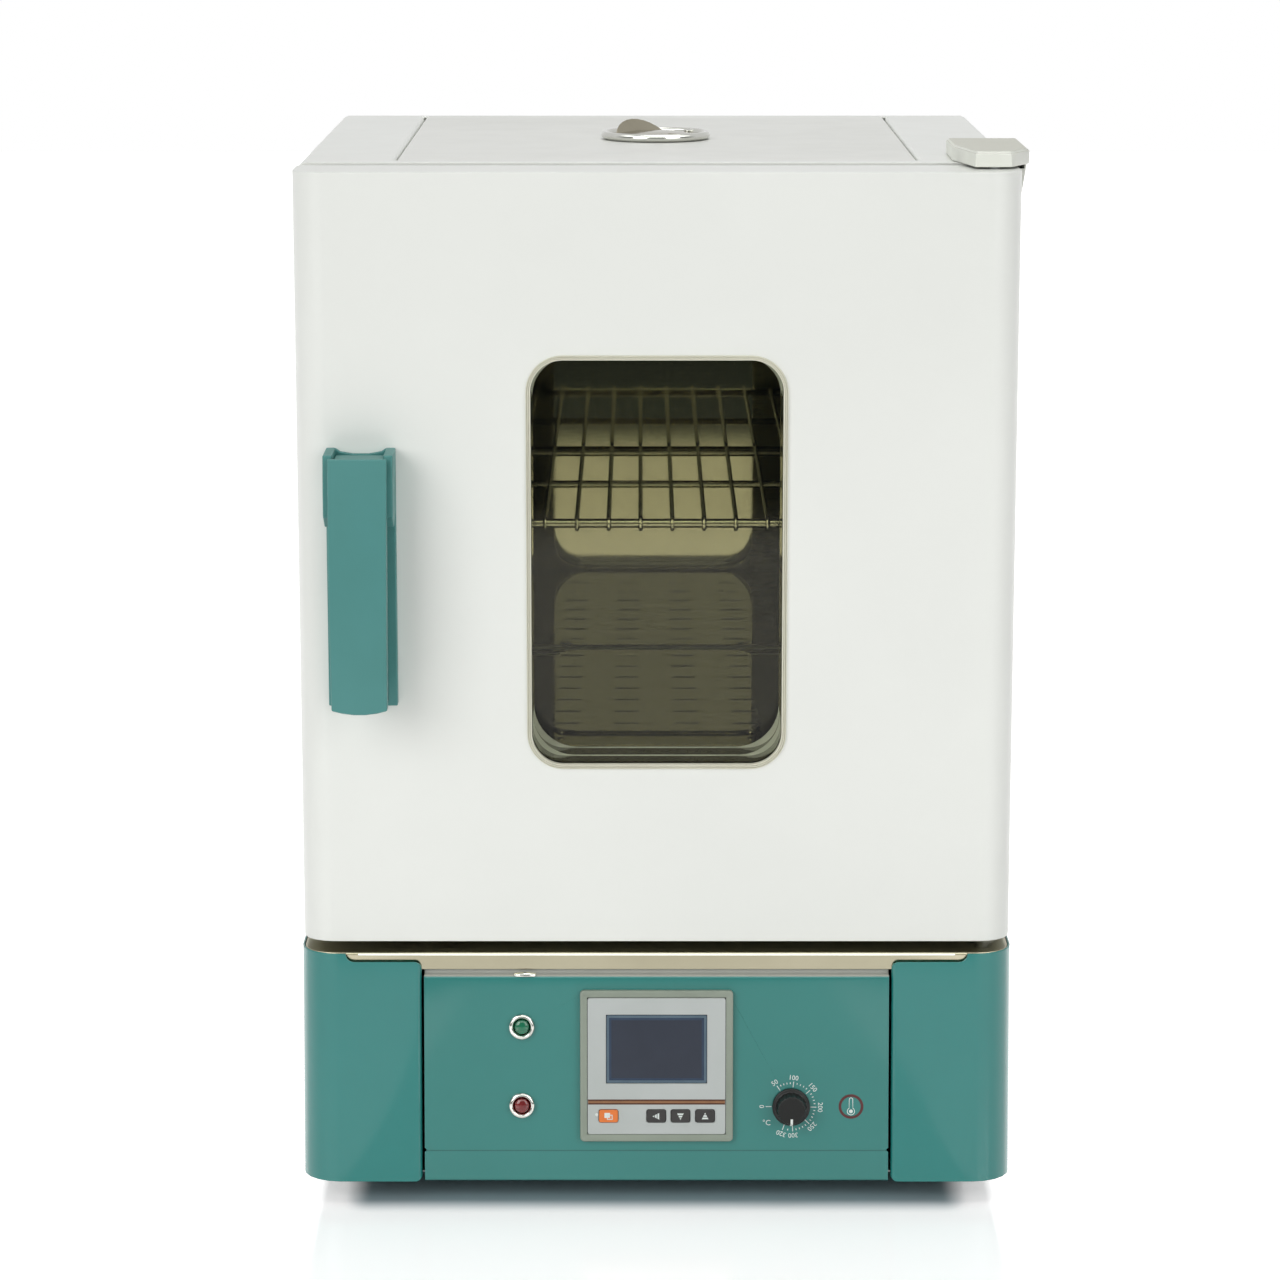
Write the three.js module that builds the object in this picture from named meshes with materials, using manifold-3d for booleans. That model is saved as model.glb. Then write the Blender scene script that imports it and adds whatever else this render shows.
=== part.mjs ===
// A bench drying oven: a heated chamber behind a hinged window door, on a base that holds the controls.
// Millimetres, +X to the right, +Y to the back, +Z up. Sizes are worked out from the door's front face.

import * as THREE from 'three'
import { mergeVertices } from 'three/addons/utils/BufferGeometryUtils.js'
import Module from 'manifold-3d'

const wasm = await Module()
wasm.setup()

// Overall sizes
const bodyWidth = 450
const bodyDepth = 405
const doorHeight = 487
const doorThick = 54
const sealGap = 7
const footHeight = 14
const baseHeight = 146
const baseSwell = 1
const doorClearance = 6
const topStep = 1
const sheet = 1.5
const thinSheet = 1.2
const fit = 0.3
const seam = 0.6
const overrun = 4
const arcSteps = 5
const bendSteps = 3
const circleSteps = 24
const smallCircleSteps = 12
const cornerSegments = 1
const wideCornerSegments = 2
const wireSides = 8
const thinWireSides = 6

// Chamber, its false floor and its shelf
const chamber = { sideWall: 70, topWall: 63.5, depth: 310, corner: 12 }
const floorPlate = {
  level: 50, sideGap: 1.7, endGap: 1.4, legInset: 14, field: 136, fieldDepth: 265, fieldCorner: 15,
  fieldRise: 2, fieldShift: 14, lip: 6, columns: 4, rows: 7, pitchX: 39, pitchY: 37, slotLength: 16, slotWidth: 2.4
}
const shelf = {
  level: 194, sideGap: 3.5, frontRod: 3, crossRod: 2.5, rod: 1.5, pitch: 20.3, edge: 16, frontInset: 8,
  backGap: 5, hook: 4, midShare: 0.53, bite: 0.4
}
const rack = {
  strip: 12, stripThick: 2, runner: 2, levels: 5, shelfLevel: 2, pitch: 45, postInset: 40, runnerEnd: 18, bite: 0.4
}
const heater = {
  radius: 4, level: 22, sideInset: 55, legs: 4, frontInset: 40, backInset: 40, terminal: 18, steps: 48, sides: 8
}
const probe = { radius: 2.5, length: 60, tail: 14, flange: 8, flangeThick: 2, x: -90, below: 60 }

// Door, its window and its seal
const doorCorner = 20
const doorReturn = 16
const panelRise = { inset: 14, rise: 3, corner: 14 }
const windowWidth = 163
const windowHeight = 262
const windowCorner = 23
const trim = { lip: 2.6, cover: 3.3, proud: 1.8, neck: 1, groove: 0.5, grooveDepth: 0.6, grip: 1.4 }
const glass = { lap: 4, thick: 4 }
const gasket = { margin: 18, width: 10, round: 2, corner: 22 }

// Hinge on the right
const hinge = {
  inset: 16, back: 33, pin: 4, reach: 12, plate: 3, plateWidth: 24, noseRadius: 7, tailUpper: 110,
  legDrop: 12, legFront: 74, tailLower: 60.5, running: 0.3
}
const cap = {
  left: 23, overhang: 7, nose: 11, noseLeft: 12.5, noseRight: 10, shoulderLeft: 40, shoulderRight: 15, back: 97,
  height: 10, wall: 1.5, flapFront: 64, flapDrop: 21, flapTaper: 3, edge: 1.4
}

// Handle and latch
const grip = {
  inset: 41.5, bottom: 155, width: 43, height: 162, plate: 4, cheek: 5.8, cheekDepth: 36, cheekTopDepth: 33,
  cheekFrontStart: 142, cheekTip: 116, cheekTipDepth: 24, cheekHeel: 124, rim: 9, dipShare: 0.23
}
const lever = {
  back: 36.3, topFront: 39.6, belly: 55.5, bottomFront: 46.5, bottom: 2, top: 160.5, wall: 2.8, widthTop: 36.4,
  widthBottom: 34.4, bow: 3, blockBack: 8.5, blockBottom: 138, blockTop: 158.5, steps: 8, sideGap: 0.4
}
const pivot = { y: 16, z: 149, radius: 4, blind: 1.5, running: 0.3, play: 0.6 }
const hook = {
  thick: 3, low: 8, high: 2, inBlock: 5, tip: 74, barb: 5, barbRise: 7.5, barbClear: 0.5, slotSide: 1.6,
  slotLow: 24, slotHigh: 3, frontLow: 12
}
const strike = { width: 22, margin: 9, thick: 2, windowSide: 3, windowLow: 26, frameMargin: 2, pocket: 22 }

// Body shell
const frameReturn = 15
const bodyBend = 4
const topEdge = 59.7
const topReturn = 12
const rearReturn = 10
const louvre = { length: 60, width: 4, pitch: 14, rows: 6, inset: 130, up: 60, baseRows: 4 }

// Vent on top
const vent = {
  y: 190, radius: 36.5, bead: 2.6, plate: 1.5, duct: 29, ductWall: 1.2, disc: 30.9, discThick: 1.2, crown: 2.2,
  flapRadius: 27.3, flapChord: 16.5, flapLift: 48, flapTurn: 135, float: 0.3, discSteps: 4, ductGap: 0.7,
  eyeLength: 7, eyeWidth: 3, eyeX: 11.5, eyeY: -17
}
const ventScrew = { x: 22.5, y: 9, head: 3.4, headHeight: 1.6, shank: 1.5, seat: 0.3, slot: 0.8, slotDepth: 0.7 }

// Base
const lean = 6
const baseNose = 8
const coverBend = 25
const coverWidth = 77
const coverFlange = 10
const coverEdge = 3
const notch = { inset: 29, drop: 5.3, corner: 5.3, round: 4.5 }
const apron = { front: 5, lip: 11, corner: 21, bend: 1.6 }
const panel = {
  gap: 1.6, ledge: 132, crease: 20.5, tuck: 0.8, relief: 1.2, behindLip: 1.8, rise: 7, bend: 2, panFront: 4,
  bottomGap: 0.2
}
const foot = { radius: 14, tip: 11.5, inset: 40, front: 32, back: 36, dish: 3, dishRadius: 6 }

// Controls on the leaning panel, placed from its middle; heights run up the panel
const controlsHeight = 75
const controlsInward = 12.45
const controller = {
  size: 97, corner: 2.5, proud: 4, ring: 4.8, neck: 0.6, faceDepth: 2.4, faceThick: 1.5, caseSize: 91, caseDepth: 62,
  holeGap: 0.5, neckDepth: 1.8, screenWidth: 63.6, screenHeight: 43.6, screenX: 0, screenUp: 11, screenProud: 0.2
}
const key = {
  width: 12, height: 8, up: -32, travel: 0.8, proud: 1, gap: 0.3, pocket: 1.3, corner: 1, thick: 2.2,
  x: { key_menu: -30.5, key_shift: -0.2, key_down: 15.2, key_up: 30.8 }
}
const lamp = {
  up: 24.8, down: -25.8, radius: 8.2, proud: 3.4, bore: 5, neck: 6, neckDepth: 14, gap: 0.5, lens: 4.6, dome: 1.6
}
const dial = {
  up: -26.7, radius: 12, skirt: 2.4, grip: 9.4, height: 14, lobes: 18, lobeDepth: 0.5, shaft: 3, running: 0.3,
  stand: 0.6, boreDepth: 9, hole: 5, bodySize: 38, bodyDepth: 20, pointer: 1.6, pointerDepth: 0.6, edge: 1
}

// Mains fittings at the back of the base
const inlet = {
  inset: 106, up: 71, plateWidth: 50, plateHeight: 24, plate: 2.5, bodyWidth: 28, bodyHeight: 21, bodyDepth: 24,
  socketWidth: 24, socketHeight: 16.5, socketDepth: 18, chamfer: 5, pinWidth: 2, pinHeight: 4.5, pinLength: 15,
  pinSide: 7, pinUp: 2, earthUp: -2.5
}
const rocker = {
  inset: 166, up: 71, width: 24, height: 32, flange: 2, depth: 20, floor: 4, capWidth: 15, capHeight: 24, capThick: 5,
  tilt: 8, hump: 3, gap: 0.5
}

// Levels and edges that follow from the sizes above
const baseTop = footHeight + baseHeight
const doorBottom = baseTop + doorClearance
const bodyTop = doorBottom + doorHeight + topStep
const bodyHeight = bodyTop - baseTop
const bodyFront = doorThick + sealGap
const halfBody = bodyWidth / 2
const halfBase = halfBody + baseSwell
const hingeX = halfBody - hinge.inset
const gripX = grip.inset - halfBody
const topSeam = halfBody - topEdge
const coverInner = halfBase - coverWidth
const notchSide = halfBase - notch.inset
const dialX = (controller.size / 2 + coverInner - panel.gap) / 2 - controlsInward
const lampX = -dialX
const inletX = inlet.inset - halfBase
const rockerX = rocker.inset - halfBase
const chamberWidth = bodyWidth - chamber.sideWall * 2
const chamberHeight = doorHeight - chamber.topWall * 2
const chamberBottom = doorClearance + chamber.topWall
const heaterSpan = chamberWidth - heater.sideInset * 2
const chamberTop = chamberBottom + chamberHeight
const chamberFront = sheet + fit
const chamberBack = chamberFront + chamber.depth
const hookHeight = doorBottom + grip.bottom + pivot.z - baseTop
const leanSlope = Math.tan(THREE.MathUtils.degToRad(lean))

const unitX = new THREE.Vector3(1, 0, 0)
const unitY = new THREE.Vector3(0, 1, 0)
const unitZ = new THREE.Vector3(0, 0, 1)

// Finishes: colour, roughness, metalness
const looks = {
  whitePaint: [0xe9ebe4, 0.35, 0],
  greyPaint: [0xd9dad4, 0.4, 0],
  tealPaint: [0x4c8a83, 0.35, 0],
  tealPlastic: [0x54948e, 0.5, 0],
  stainless: [0xb8b4a6, 0.25, 1],
  polished: [0xd0d0cc, 0.1, 1],
  zincSteel: [0xa8aaa8, 0.4, 1],
  paleGlass: [0xdfe6e2, 0.05, 0],
  creamRubber: [0xdcd8be, 0.7, 0],
  whiteRubber: [0xe2e0d8, 0.8, 0],
  blackRubber: [0x1c1c1c, 0.9, 0],
  fibre: [0xd8d0a8, 0.95, 0],
  ivoryPlastic: [0xcfd2c6, 0.5, 0],
  greyPlastic: [0x969e92, 0.5, 0],
  palePlastic: [0xb7bcba, 0.5, 0],
  blackPlastic: [0x232626, 0.4, 0],
  darkLens: [0x3c4250, 0.15, 0],
  orangeKey: [0xe07838, 0.5, 0],
  darkKey: [0x34302e, 0.5, 0],
  greenLens: [0x006e4b, 0.2, 0],
  redLens: [0x781818, 0.2, 0]
}

// A closed geometry as a solid that can be joined and cut. A profile drawn the other way round is turned.
function solidOf(geometry) {
  const bare = geometry.clone()
  bare.deleteAttribute('normal')
  bare.deleteAttribute('uv')
  const merged = mergeVertices(bare)
  const index = merged.index.array
  const faces = []
  for (let i = 0; i < index.length; i += 3) {
    const [a, b, c] = [index[i], index[i + 1], index[i + 2]]
    if (a !== b && b !== c && c !== a) faces.push(a, b, c)
  }
  const build = triVerts =>
    new wasm.Manifold(new wasm.Mesh({ numProp: 3, vertProperties: merged.attributes.position.array, triVerts }))
  const made = build(new Uint32Array(faces))
  return made.volume() < 0 ? build(new Uint32Array(faces.reverse())) : made
}

const asSolid = shape => (shape.isBufferGeometry ? solidOf(shape) : shape)
const join = (...shapes) => shapes.flat().map(asSolid).reduce((whole, next) => whole.add(next))
const cut = (shape, ...tools) => tools.flat().map(asSolid).reduce((left, tool) => left.subtract(tool), asSolid(shape))
const common = (shape, other) => asSolid(shape).intersect(asSolid(other))

function piece(name, shape, look, at = [0, 0, 0]) {
  const { vertProperties, triVerts } = asSolid(shape).getMesh()
  const geometry = new THREE.BufferGeometry()
  geometry.setAttribute('position', new THREE.BufferAttribute(new Float32Array(vertProperties), 3))
  geometry.setIndex(new THREE.BufferAttribute(new Uint32Array(triVerts), 1))
  geometry.computeVertexNormals()
  const [color, roughness, metalness] = looks[look]
  const mesh = new THREE.Mesh(geometry, new THREE.MeshStandardMaterial({ color, roughness, metalness }))
  mesh.name = name
  mesh.position.set(...at)
  return mesh
}

function group(at, ...children) {
  const made = new THREE.Group()
  made.position.set(...at)
  return made.add(...children.flat())
}

// Runs an outline along an axis. It is drawn in the other two: y z along x, x z along y, and x y along z.
function extrude(outline, axis, from, to, curveSegments = cornerSegments) {
  const run = new THREE.ExtrudeGeometry(outline, { depth: to - from, bevelEnabled: false, curveSegments })
  const turn = new THREE.Matrix4()
  if (axis === 'x') turn.makeBasis(unitY, unitZ, unitX).setPosition(from, 0, 0)
  if (axis === 'y') turn.makeBasis(unitX, unitZ, unitY.clone().negate()).setPosition(0, to, 0)
  if (axis === 'z') turn.setPosition(0, 0, from)
  return run.applyMatrix4(turn)
}

// A rectangle between two corners, with round corners where a radius is given.
function rect(x0, x1, y0, y1, radius = 0) {
  const shape = new THREE.Shape()
  if (radius === 0) {
    return shape.moveTo(x0, y0).lineTo(x1, y0).lineTo(x1, y1).lineTo(x0, y1)
  }
  shape.absarc(x1 - radius, y0 + radius, radius, -Math.PI / 2, 0)
  shape.absarc(x1 - radius, y1 - radius, radius, 0, Math.PI / 2)
  shape.absarc(x0 + radius, y1 - radius, radius, Math.PI / 2, Math.PI)
  shape.absarc(x0 + radius, y0 + radius, radius, Math.PI, Math.PI * 3 / 2)
  return shape
}

const centred = (width, height, radius = 0, x = 0, y = 0) =>
  rect(x - width / 2, x + width / 2, y - height / 2, y + height / 2, radius)
const box = (x0, x1, y0, y1, z0, z1) => extrude(rect(x0, x1, y0, y1), 'z', z0, z1)
const outlineOf = points => new THREE.Shape(points.map(([x, y]) => new THREE.Vector2(x, y)))

function circle(radius, x = 0, y = 0) {
  return new THREE.Shape().absarc(x, y, radius, 0, Math.PI * 2)
}

function rod(radius, axis, from, to, a = 0, b = 0, sides = smallCircleSteps) {
  return extrude(circle(radius, a, b), axis, from, to, sides / 2)
}

// A closed profile of [radius, height] points turned about +Z.
function turned(profile, steps = circleSteps) {
  const points = [...profile, profile[0]].map(([r, h]) => new THREE.Vector2(r, h))
  return new THREE.LatheGeometry(points, steps).rotateX(Math.PI / 2)
}

// The same, turned about the line that runs out of the front, so heights become distances towards the viewer.
const turnedForward = (profile, steps = circleSteps) => turned(profile, steps).rotateX(Math.PI / 2)

const arc = (x, y, radius, fromDeg, toDeg, steps = arcSteps) =>
  Array.from({ length: steps + 1 }, (_, i) => {
    const angle = THREE.MathUtils.degToRad(fromDeg + (toDeg - fromDeg) * i / steps)
    return [x + radius * Math.cos(angle), y + radius * Math.sin(angle)]
  })

// Outline of a sheet folded at each corner [x, y, bend radius]. Its thickness lies to the left of the way the
// corners run, and every bend keeps that thickness.
function folded(corners, thick, steps = bendSteps) {
  const left = (direction, length) => new THREE.Vector2(-direction.y, direction.x).multiplyScalar(length)
  const points = corners.map(([x, y]) => new THREE.Vector2(x, y))
  const near = []
  const far = []
  points.forEach((here, i) => {
    const before = i > 0 ? here.clone().sub(points[i - 1]).normalize() : null
    const after = i < points.length - 1 ? points[i + 1].clone().sub(here).normalize() : null
    const from = before ?? after
    const to = after ?? before
    const bend = corners[i][2] ?? 0
    const turn = Math.atan2(from.cross(to), from.dot(to))
    const middle = left(from, 1).add(left(to, 1)).normalize()
    if (bend === 0) {
      near.push(here)
      far.push(here.clone().addScaledVector(middle, thick / Math.cos(turn / 2)))
      return
    }
    const side = Math.sign(turn)
    const centre = here.clone().addScaledVector(middle, side * bend / Math.cos(turn / 2))
    for (let k = 0; k <= steps; k += 1) {
      const heading = from.clone().rotateAround(new THREE.Vector2(), turn * k / steps)
      near.push(centre.clone().sub(left(heading, side * bend)))
      far.push(centre.clone().sub(left(heading, side * bend - thick)))
    }
  })
  return new THREE.Shape([...near, ...far.reverse()])
}

const mirrored = corners => corners.map(([x, ...rest]) => [-x, ...rest]).reverse()

// A tube along a path, with round section.
function wire(path, radius, steps, sides) {
  const section = new THREE.Shape(arc(0, 0, radius, 0, 360 * (sides - 1) / sides, sides - 1)
    .map(([x, y]) => new THREE.Vector2(x, y)))
  return new THREE.ExtrudeGeometry(section, { steps, extrudePath: path, bevelEnabled: false })
}

// Slots in a grid about a middle point.
function slotGrid(columns, rows, pitchX, pitchY, length, width, x, y) {
  const slots = []
  for (let c = 0; c < columns; c += 1) {
    for (let r = 0; r < rows; r += 1) {
      const slotX = x + (c - (columns - 1) / 2) * pitchX
      const slotY = y + (r - (rows - 1) / 2) * pitchY
      slots.push(centred(length, width, 0, slotX, slotY))
    }
  }
  return slots
}

// Body shell, placed from the middle of the front face's lower edge

function frontFrame() {
  const tray = cut(
    extrude(rect(-halfBody, halfBody, fit, bodyHeight, bodyBend), 'y', 0, frameReturn),
    extrude(rect(-halfBody + sheet, halfBody - sheet, fit + sheet, bodyHeight - sheet, bodyBend - sheet),
      'y', sheet, frameReturn + overrun)
  )
  const opening = extrude(rect(-chamberWidth / 2, chamberWidth / 2, chamberBottom, chamberTop, chamber.corner),
    'y', -overrun, sheet + overrun)
  const low = hookHeight - strike.windowLow - strike.frameMargin
  const high = hookHeight + hook.barbRise + hook.barbClear + strike.frameMargin
  const side = hook.thick / 2 + strike.windowSide + strike.frameMargin
  return cut(tray, opening, box(gripX - side, gripX + side, -overrun, sheet + overrun, low, high))
}

function strikePlate() {
  const low = hookHeight - strike.windowLow
  const high = hookHeight + hook.barbRise + hook.barbClear
  const side = hook.thick / 2 + strike.windowSide
  const front = sheet + fit
  return cut(
    extrude(rect(gripX - strike.width / 2, gripX + strike.width / 2, low - strike.margin, high + strike.margin,
      trim.lip), 'y', front, front + strike.thick),
    box(gripX - side, gripX + side, front - overrun, front + strike.thick + overrun, low, high)
  )
}

const shellFront = frameReturn + seam
const shellBack = bodyDepth - rearReturn - seam

function sidePanel(side) {
  const corners = [
    [-topSeam, bodyHeight - topReturn], [-topSeam, bodyHeight, sheet * 2], [-halfBody, bodyHeight, bodyBend],
    [-halfBody, fit]
  ]
  return extrude(folded(side < 0 ? corners : mirrored(corners), sheet), 'y', shellFront, shellBack)
}

function topCover() {
  const edge = topSeam - seam
  const corners = [
    [edge, bodyHeight - topReturn], [edge, bodyHeight, sheet * 2], [-edge, bodyHeight, sheet * 2],
    [-edge, bodyHeight - topReturn]
  ]
  return cut(
    extrude(folded(corners, sheet), 'y', shellFront, shellBack),
    rod(vent.duct + vent.ductGap, 'z', bodyHeight - sheet - overrun, bodyHeight + overrun, 0, vent.y, circleSteps)
  )
}

function rearCover() {
  const tray = cut(
    extrude(rect(-halfBody, halfBody, fit, bodyHeight, bodyBend), 'y', bodyDepth - rearReturn, bodyDepth),
    extrude(rect(-halfBody + sheet, halfBody - sheet, fit + sheet, bodyHeight - sheet, bodyBend - sheet),
      'y', bodyDepth - rearReturn - overrun, bodyDepth - sheet)
  )
  const apart = (halfBody - louvre.inset) * 2
  const rows = slotGrid(2, louvre.rows, apart, louvre.pitch, louvre.length, louvre.width, 0, louvre.up)
  return cut(tray, rows.map(slot => extrude(slot, 'y', bodyDepth - sheet - overrun, bodyDepth + overrun)))
}

const jacketBack = bodyDepth - rearReturn - fit - sheet

function insulationJacket() {
  const side = halfBody - sheet - fit
  const lining = thinSheet + fit
  const pocketSide = strike.width / 2 + fit
  const low = hookHeight - strike.windowLow - strike.margin - fit
  const high = hookHeight + hook.barbRise + hook.barbClear + strike.margin + fit
  const heaterEnd = chamberBack + heater.terminal + fit * 2
  const probeEnd = chamberBack + probe.tail + fit * 2
  return cut(
    extrude(rect(-side, side, fit * 2 + sheet, bodyHeight - topReturn - fit, bodyBend), 'y', sheet + fit, jacketBack),
    extrude(rect(-chamberWidth / 2 - lining, chamberWidth / 2 + lining, chamberBottom - lining,
      chamberTop + lining, chamber.corner + lining), 'y', -overrun, chamberBack + lining),
    box(gripX - pocketSide, gripX + pocketSide, -overrun, sheet + fit + strike.pocket, low, high),
    rod(vent.duct + vent.ductGap, 'z', chamberTop, bodyHeight, 0, vent.y, circleSteps),
    heaterEnds().map(([x, z]) => rod(heater.radius + fit, 'y', chamberBack, heaterEnd, x, z)),
    rod(probe.radius + fit, 'y', chamberBack, probeEnd, probe.x, chamberTop - probe.below)
  )
}

function innerChamber() {
  const outline = grow => rect(-chamberWidth / 2 - grow, chamberWidth / 2 + grow, chamberBottom - grow,
    chamberTop + grow, chamber.corner + grow)
  return cut(
    extrude(outline(thinSheet), 'y', chamberFront, chamberBack + thinSheet),
    extrude(outline(0), 'y', chamberFront - overrun, chamberBack),
    rod(vent.duct - vent.ductWall, 'z', chamberTop - overrun, chamberTop + overrun, 0, vent.y, circleSteps),
    heaterEnds().map(([x, z]) => rod(heater.radius + fit, 'y', chamberBack - overrun, chamberBack + overrun, x, z)),
    rod(probe.radius + fit, 'y', chamberBack - overrun, chamberBack + overrun, probe.x, chamberTop - probe.below)
  )
}

// The slotted false floor: a plate on two legs with a lip in front, and a raised field that carries the slots.
function slottedFloor() {
  const half = chamberWidth / 2 - floorPlate.sideGap
  const front = chamberFront + floorPlate.endGap
  const back = chamberBack - floorPlate.endGap
  const top = chamberBottom + floorPlate.level
  const middle = (front + back) / 2 + floorPlate.fieldShift
  const field = grow => centred(floorPlate.field + grow * 2, floorPlate.fieldDepth + grow * 2,
    floorPlate.fieldCorner + grow, 0, middle)
  const leg = half - floorPlate.legInset
  const legs = [-leg, leg - thinSheet].map(x => box(x, x + thinSheet, front, back, chamberBottom + fit, top))
  const lip = box(-half, half, front, front + thinSheet, top - floorPlate.lip, top)
  const plate = join(box(-half, half, front, back, top - thinSheet, top), legs, lip)
  const raised = cut(
    join(plate, extrude(field(0), 'z', top - thinSheet, top + floorPlate.fieldRise)),
    extrude(field(-thinSheet), 'z', top - thinSheet - overrun, top + floorPlate.fieldRise - thinSheet)
  )
  const { columns, rows, pitchX, pitchY, slotLength, slotWidth } = floorPlate
  const slots = slotGrid(columns, rows, pitchX, pitchY, slotLength, slotWidth, 0, middle)
  return cut(raised, slots.map(slot => extrude(slot, 'z', top - overrun, top + overrun)))
}

function heaterEnds() {
  const z = chamberBottom + heater.level
  return [[-heaterSpan / 2, z], [heaterSpan / 2, z]]
}

// A tube heater laid as a serpentine under the false floor, with both ends through the back wall.
function heaterElement() {
  const z = chamberBottom + heater.level
  const pitch = heaterSpan / (heater.legs - 1)
  const bend = pitch / 2
  const near = chamberFront + heater.frontInset + bend
  const far = chamberBack - heater.backInset - bend
  const end = chamberBack + heater.terminal
  const path = new THREE.CurvePath()
  const at = (x, y) => new THREE.Vector3(x, y, z)
  let x = -heaterSpan / 2
  let y = end
  for (let leg = 0; leg < heater.legs; leg += 1) {
    const forward = leg % 2 === 0
    const last = leg === heater.legs - 1
    const stop = last ? end : forward ? near : far
    path.add(new THREE.LineCurve3(at(x, y), at(x, stop)))
    y = stop
    if (!last) {
      const sign = forward ? -1 : 1
      const turn = []
      for (let k = 0; k <= arcSteps * 2; k += 1) {
        const angle = Math.PI * k / (arcSteps * 2)
        turn.push(at(x + bend - bend * Math.cos(angle), y + sign * bend * Math.sin(angle)))
      }
      path.add(new THREE.CatmullRomCurve3(turn))
      x += pitch
    }
  }
  return wire(path, heater.radius, heater.steps, heater.sides)
}

// One side's rack: two upright strips and a ladder of runners, one of which carries the shelf.
function shelfRack(side) {
  const wall = chamberWidth / 2 - fit
  const inner = wall - rack.stripThick
  const low = chamberBottom + floorPlate.level + fit
  const high = chamberTop - chamber.corner - fit
  const front = chamberFront + rack.postInset
  const back = chamberBack - rack.postInset
  const strips = [front, back].map(y => box(inner, wall, y - rack.strip / 2, y + rack.strip / 2, low, high))
  const runnerX = inner - rack.runner + rack.bite
  const runners = []
  for (let level = 0; level < rack.levels; level += 1) {
    const z = runnerLevel + (level - rack.shelfLevel) * rack.pitch
    runners.push(rod(rack.runner, 'y', front - rack.runnerEnd, back + rack.runnerEnd, runnerX, z, wireSides))
  }
  const whole = join(strips, runners)
  return side > 0 ? whole : whole.mirror([1, 0, 0])
}

const shelfLevel = chamberBottom + shelf.level
const runnerLevel = shelfLevel - shelf.crossRod - fit - rack.runner

// The wire shelf: cross rods, and rods from back to front whose ends hook round the thick front rod.
function wireShelf() {
  const half = chamberWidth / 2 - shelf.sideGap
  const count = Math.floor((half - shelf.edge) * 2 / shelf.pitch) + 1
  const front = chamberFront + shelf.frontInset
  const back = chamberBack - shelf.backGap - shelf.crossRod
  const middle = front + (back - front) * shelf.midShare
  const cross = [[front, shelf.frontRod], [middle, shelf.crossRod], [back, shelf.crossRod]]
    .map(([y, r]) => rod(r, 'x', -half, half, y, shelfLevel, wireSides))
  const lie = shelfLevel + shelf.crossRod + shelf.rod - shelf.bite
  const rise = shelf.frontRod + shelf.rod - shelf.bite
  const rods = []
  for (let i = 0; i < count; i += 1) {
    const x = (i - (count - 1) / 2) * shelf.pitch
    const hooked = arc(front, shelfLevel, rise, 90, 255, arcSteps).map(([y, z]) => new THREE.Vector3(x, y, z))
    const path = new THREE.CurvePath()
    const start = new THREE.Vector3(x, back, lie)
    const eased = new THREE.Vector3(x, front + shelf.hook, lie)
    path.add(new THREE.LineCurve3(start, eased))
    path.add(new THREE.CatmullRomCurve3([eased, ...hooked]))
    rods.push(wireAlong(path, shelf.rod))
  }
  return join(cross, rods)
}

// A thin wire that is straight for its first curve and bent along its last.
function wireAlong(path, radius) {
  const [straight, bent] = path.curves
  const points = [straight.getPoint(0), ...bent.getPoints(arcSteps)]
  return sweep(points, radius, thinWireSides)
}

// Joins rings of a round section set square to a list of points in one upright plane.
function sweep(points, radius, sides) {
  const position = []
  const faces = []
  const ring = Array.from({ length: sides }, (_, i) => Math.PI * (2 * i / sides + 0.5))
  points.forEach((point, i) => {
    const before = points[Math.max(i - 1, 0)]
    const after = points[Math.min(i + 1, points.length - 1)]
    const along = after.clone().sub(before).normalize()
    const up = new THREE.Vector3().crossVectors(unitX, along)
    ring.forEach(angle => {
      const around = point.clone().addScaledVector(unitX, radius * Math.cos(angle))
      position.push(...around.addScaledVector(up, radius * Math.sin(angle)).toArray())
    })
  })
  for (let i = 0; i < points.length - 1; i += 1) {
    for (let k = 0; k < sides; k += 1) {
      const a = i * sides + k
      const b = i * sides + (k + 1) % sides
      faces.push(a, b, b + sides, a, b + sides, a + sides)
    }
  }
  const last = (points.length - 1) * sides
  for (let k = 1; k < sides - 1; k += 1) {
    faces.push(0, k + 1, k, last, last + k, last + k + 1)
  }
  const geometry = new THREE.BufferGeometry()
  geometry.setAttribute('position', new THREE.Float32BufferAttribute(position, 3))
  geometry.setIndex(faces)
  return geometry
}

function temperatureProbe() {
  const start = -probe.tail
  const flangeFront = fit + probe.flangeThick
  return turnedForward([
    [0, start], [probe.radius, start], [probe.radius, fit], [probe.flange, fit], [probe.flange, flangeFront],
    [probe.radius, flangeFront], [probe.radius, probe.length - probe.radius], [0, probe.length]
  ], smallCircleSteps)
}

// Vent, placed from its middle on the top cover

function ventDuct() {
  const low = chamberTop + thinSheet + fit - bodyHeight
  const inner = vent.duct - vent.ductWall
  return turned([[inner, low], [vent.duct, low], [vent.duct, 0], [inner, 0]])
}

// The part of a round plate beyond a chord, which the disc's flap is cut from. It lies towards +X.
function segmentOutline(radius, chord) {
  const half = THREE.MathUtils.radToDeg(Math.acos(chord / radius))
  return outlineOf(arc(0, 0, radius, -half, half, arcSteps * 2))
}

const turnFlap = geometry => geometry.rotateZ(THREE.MathUtils.degToRad(vent.flapTurn))

function ventCollar() {
  const middle = vent.radius - vent.bead
  const ring = turned([
    [0, fit], [middle, fit], ...arc(middle, fit + vent.bead, vent.bead, -75, 180),
    [middle - vent.bead, fit + vent.plate], [0, fit + vent.plate]
  ])
  return cut(ring, turnFlap(extrude(segmentOutline(vent.flapRadius, vent.flapChord), 'z', -overrun, overrun)))
}

const discFloor = fit + vent.plate + vent.float

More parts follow.
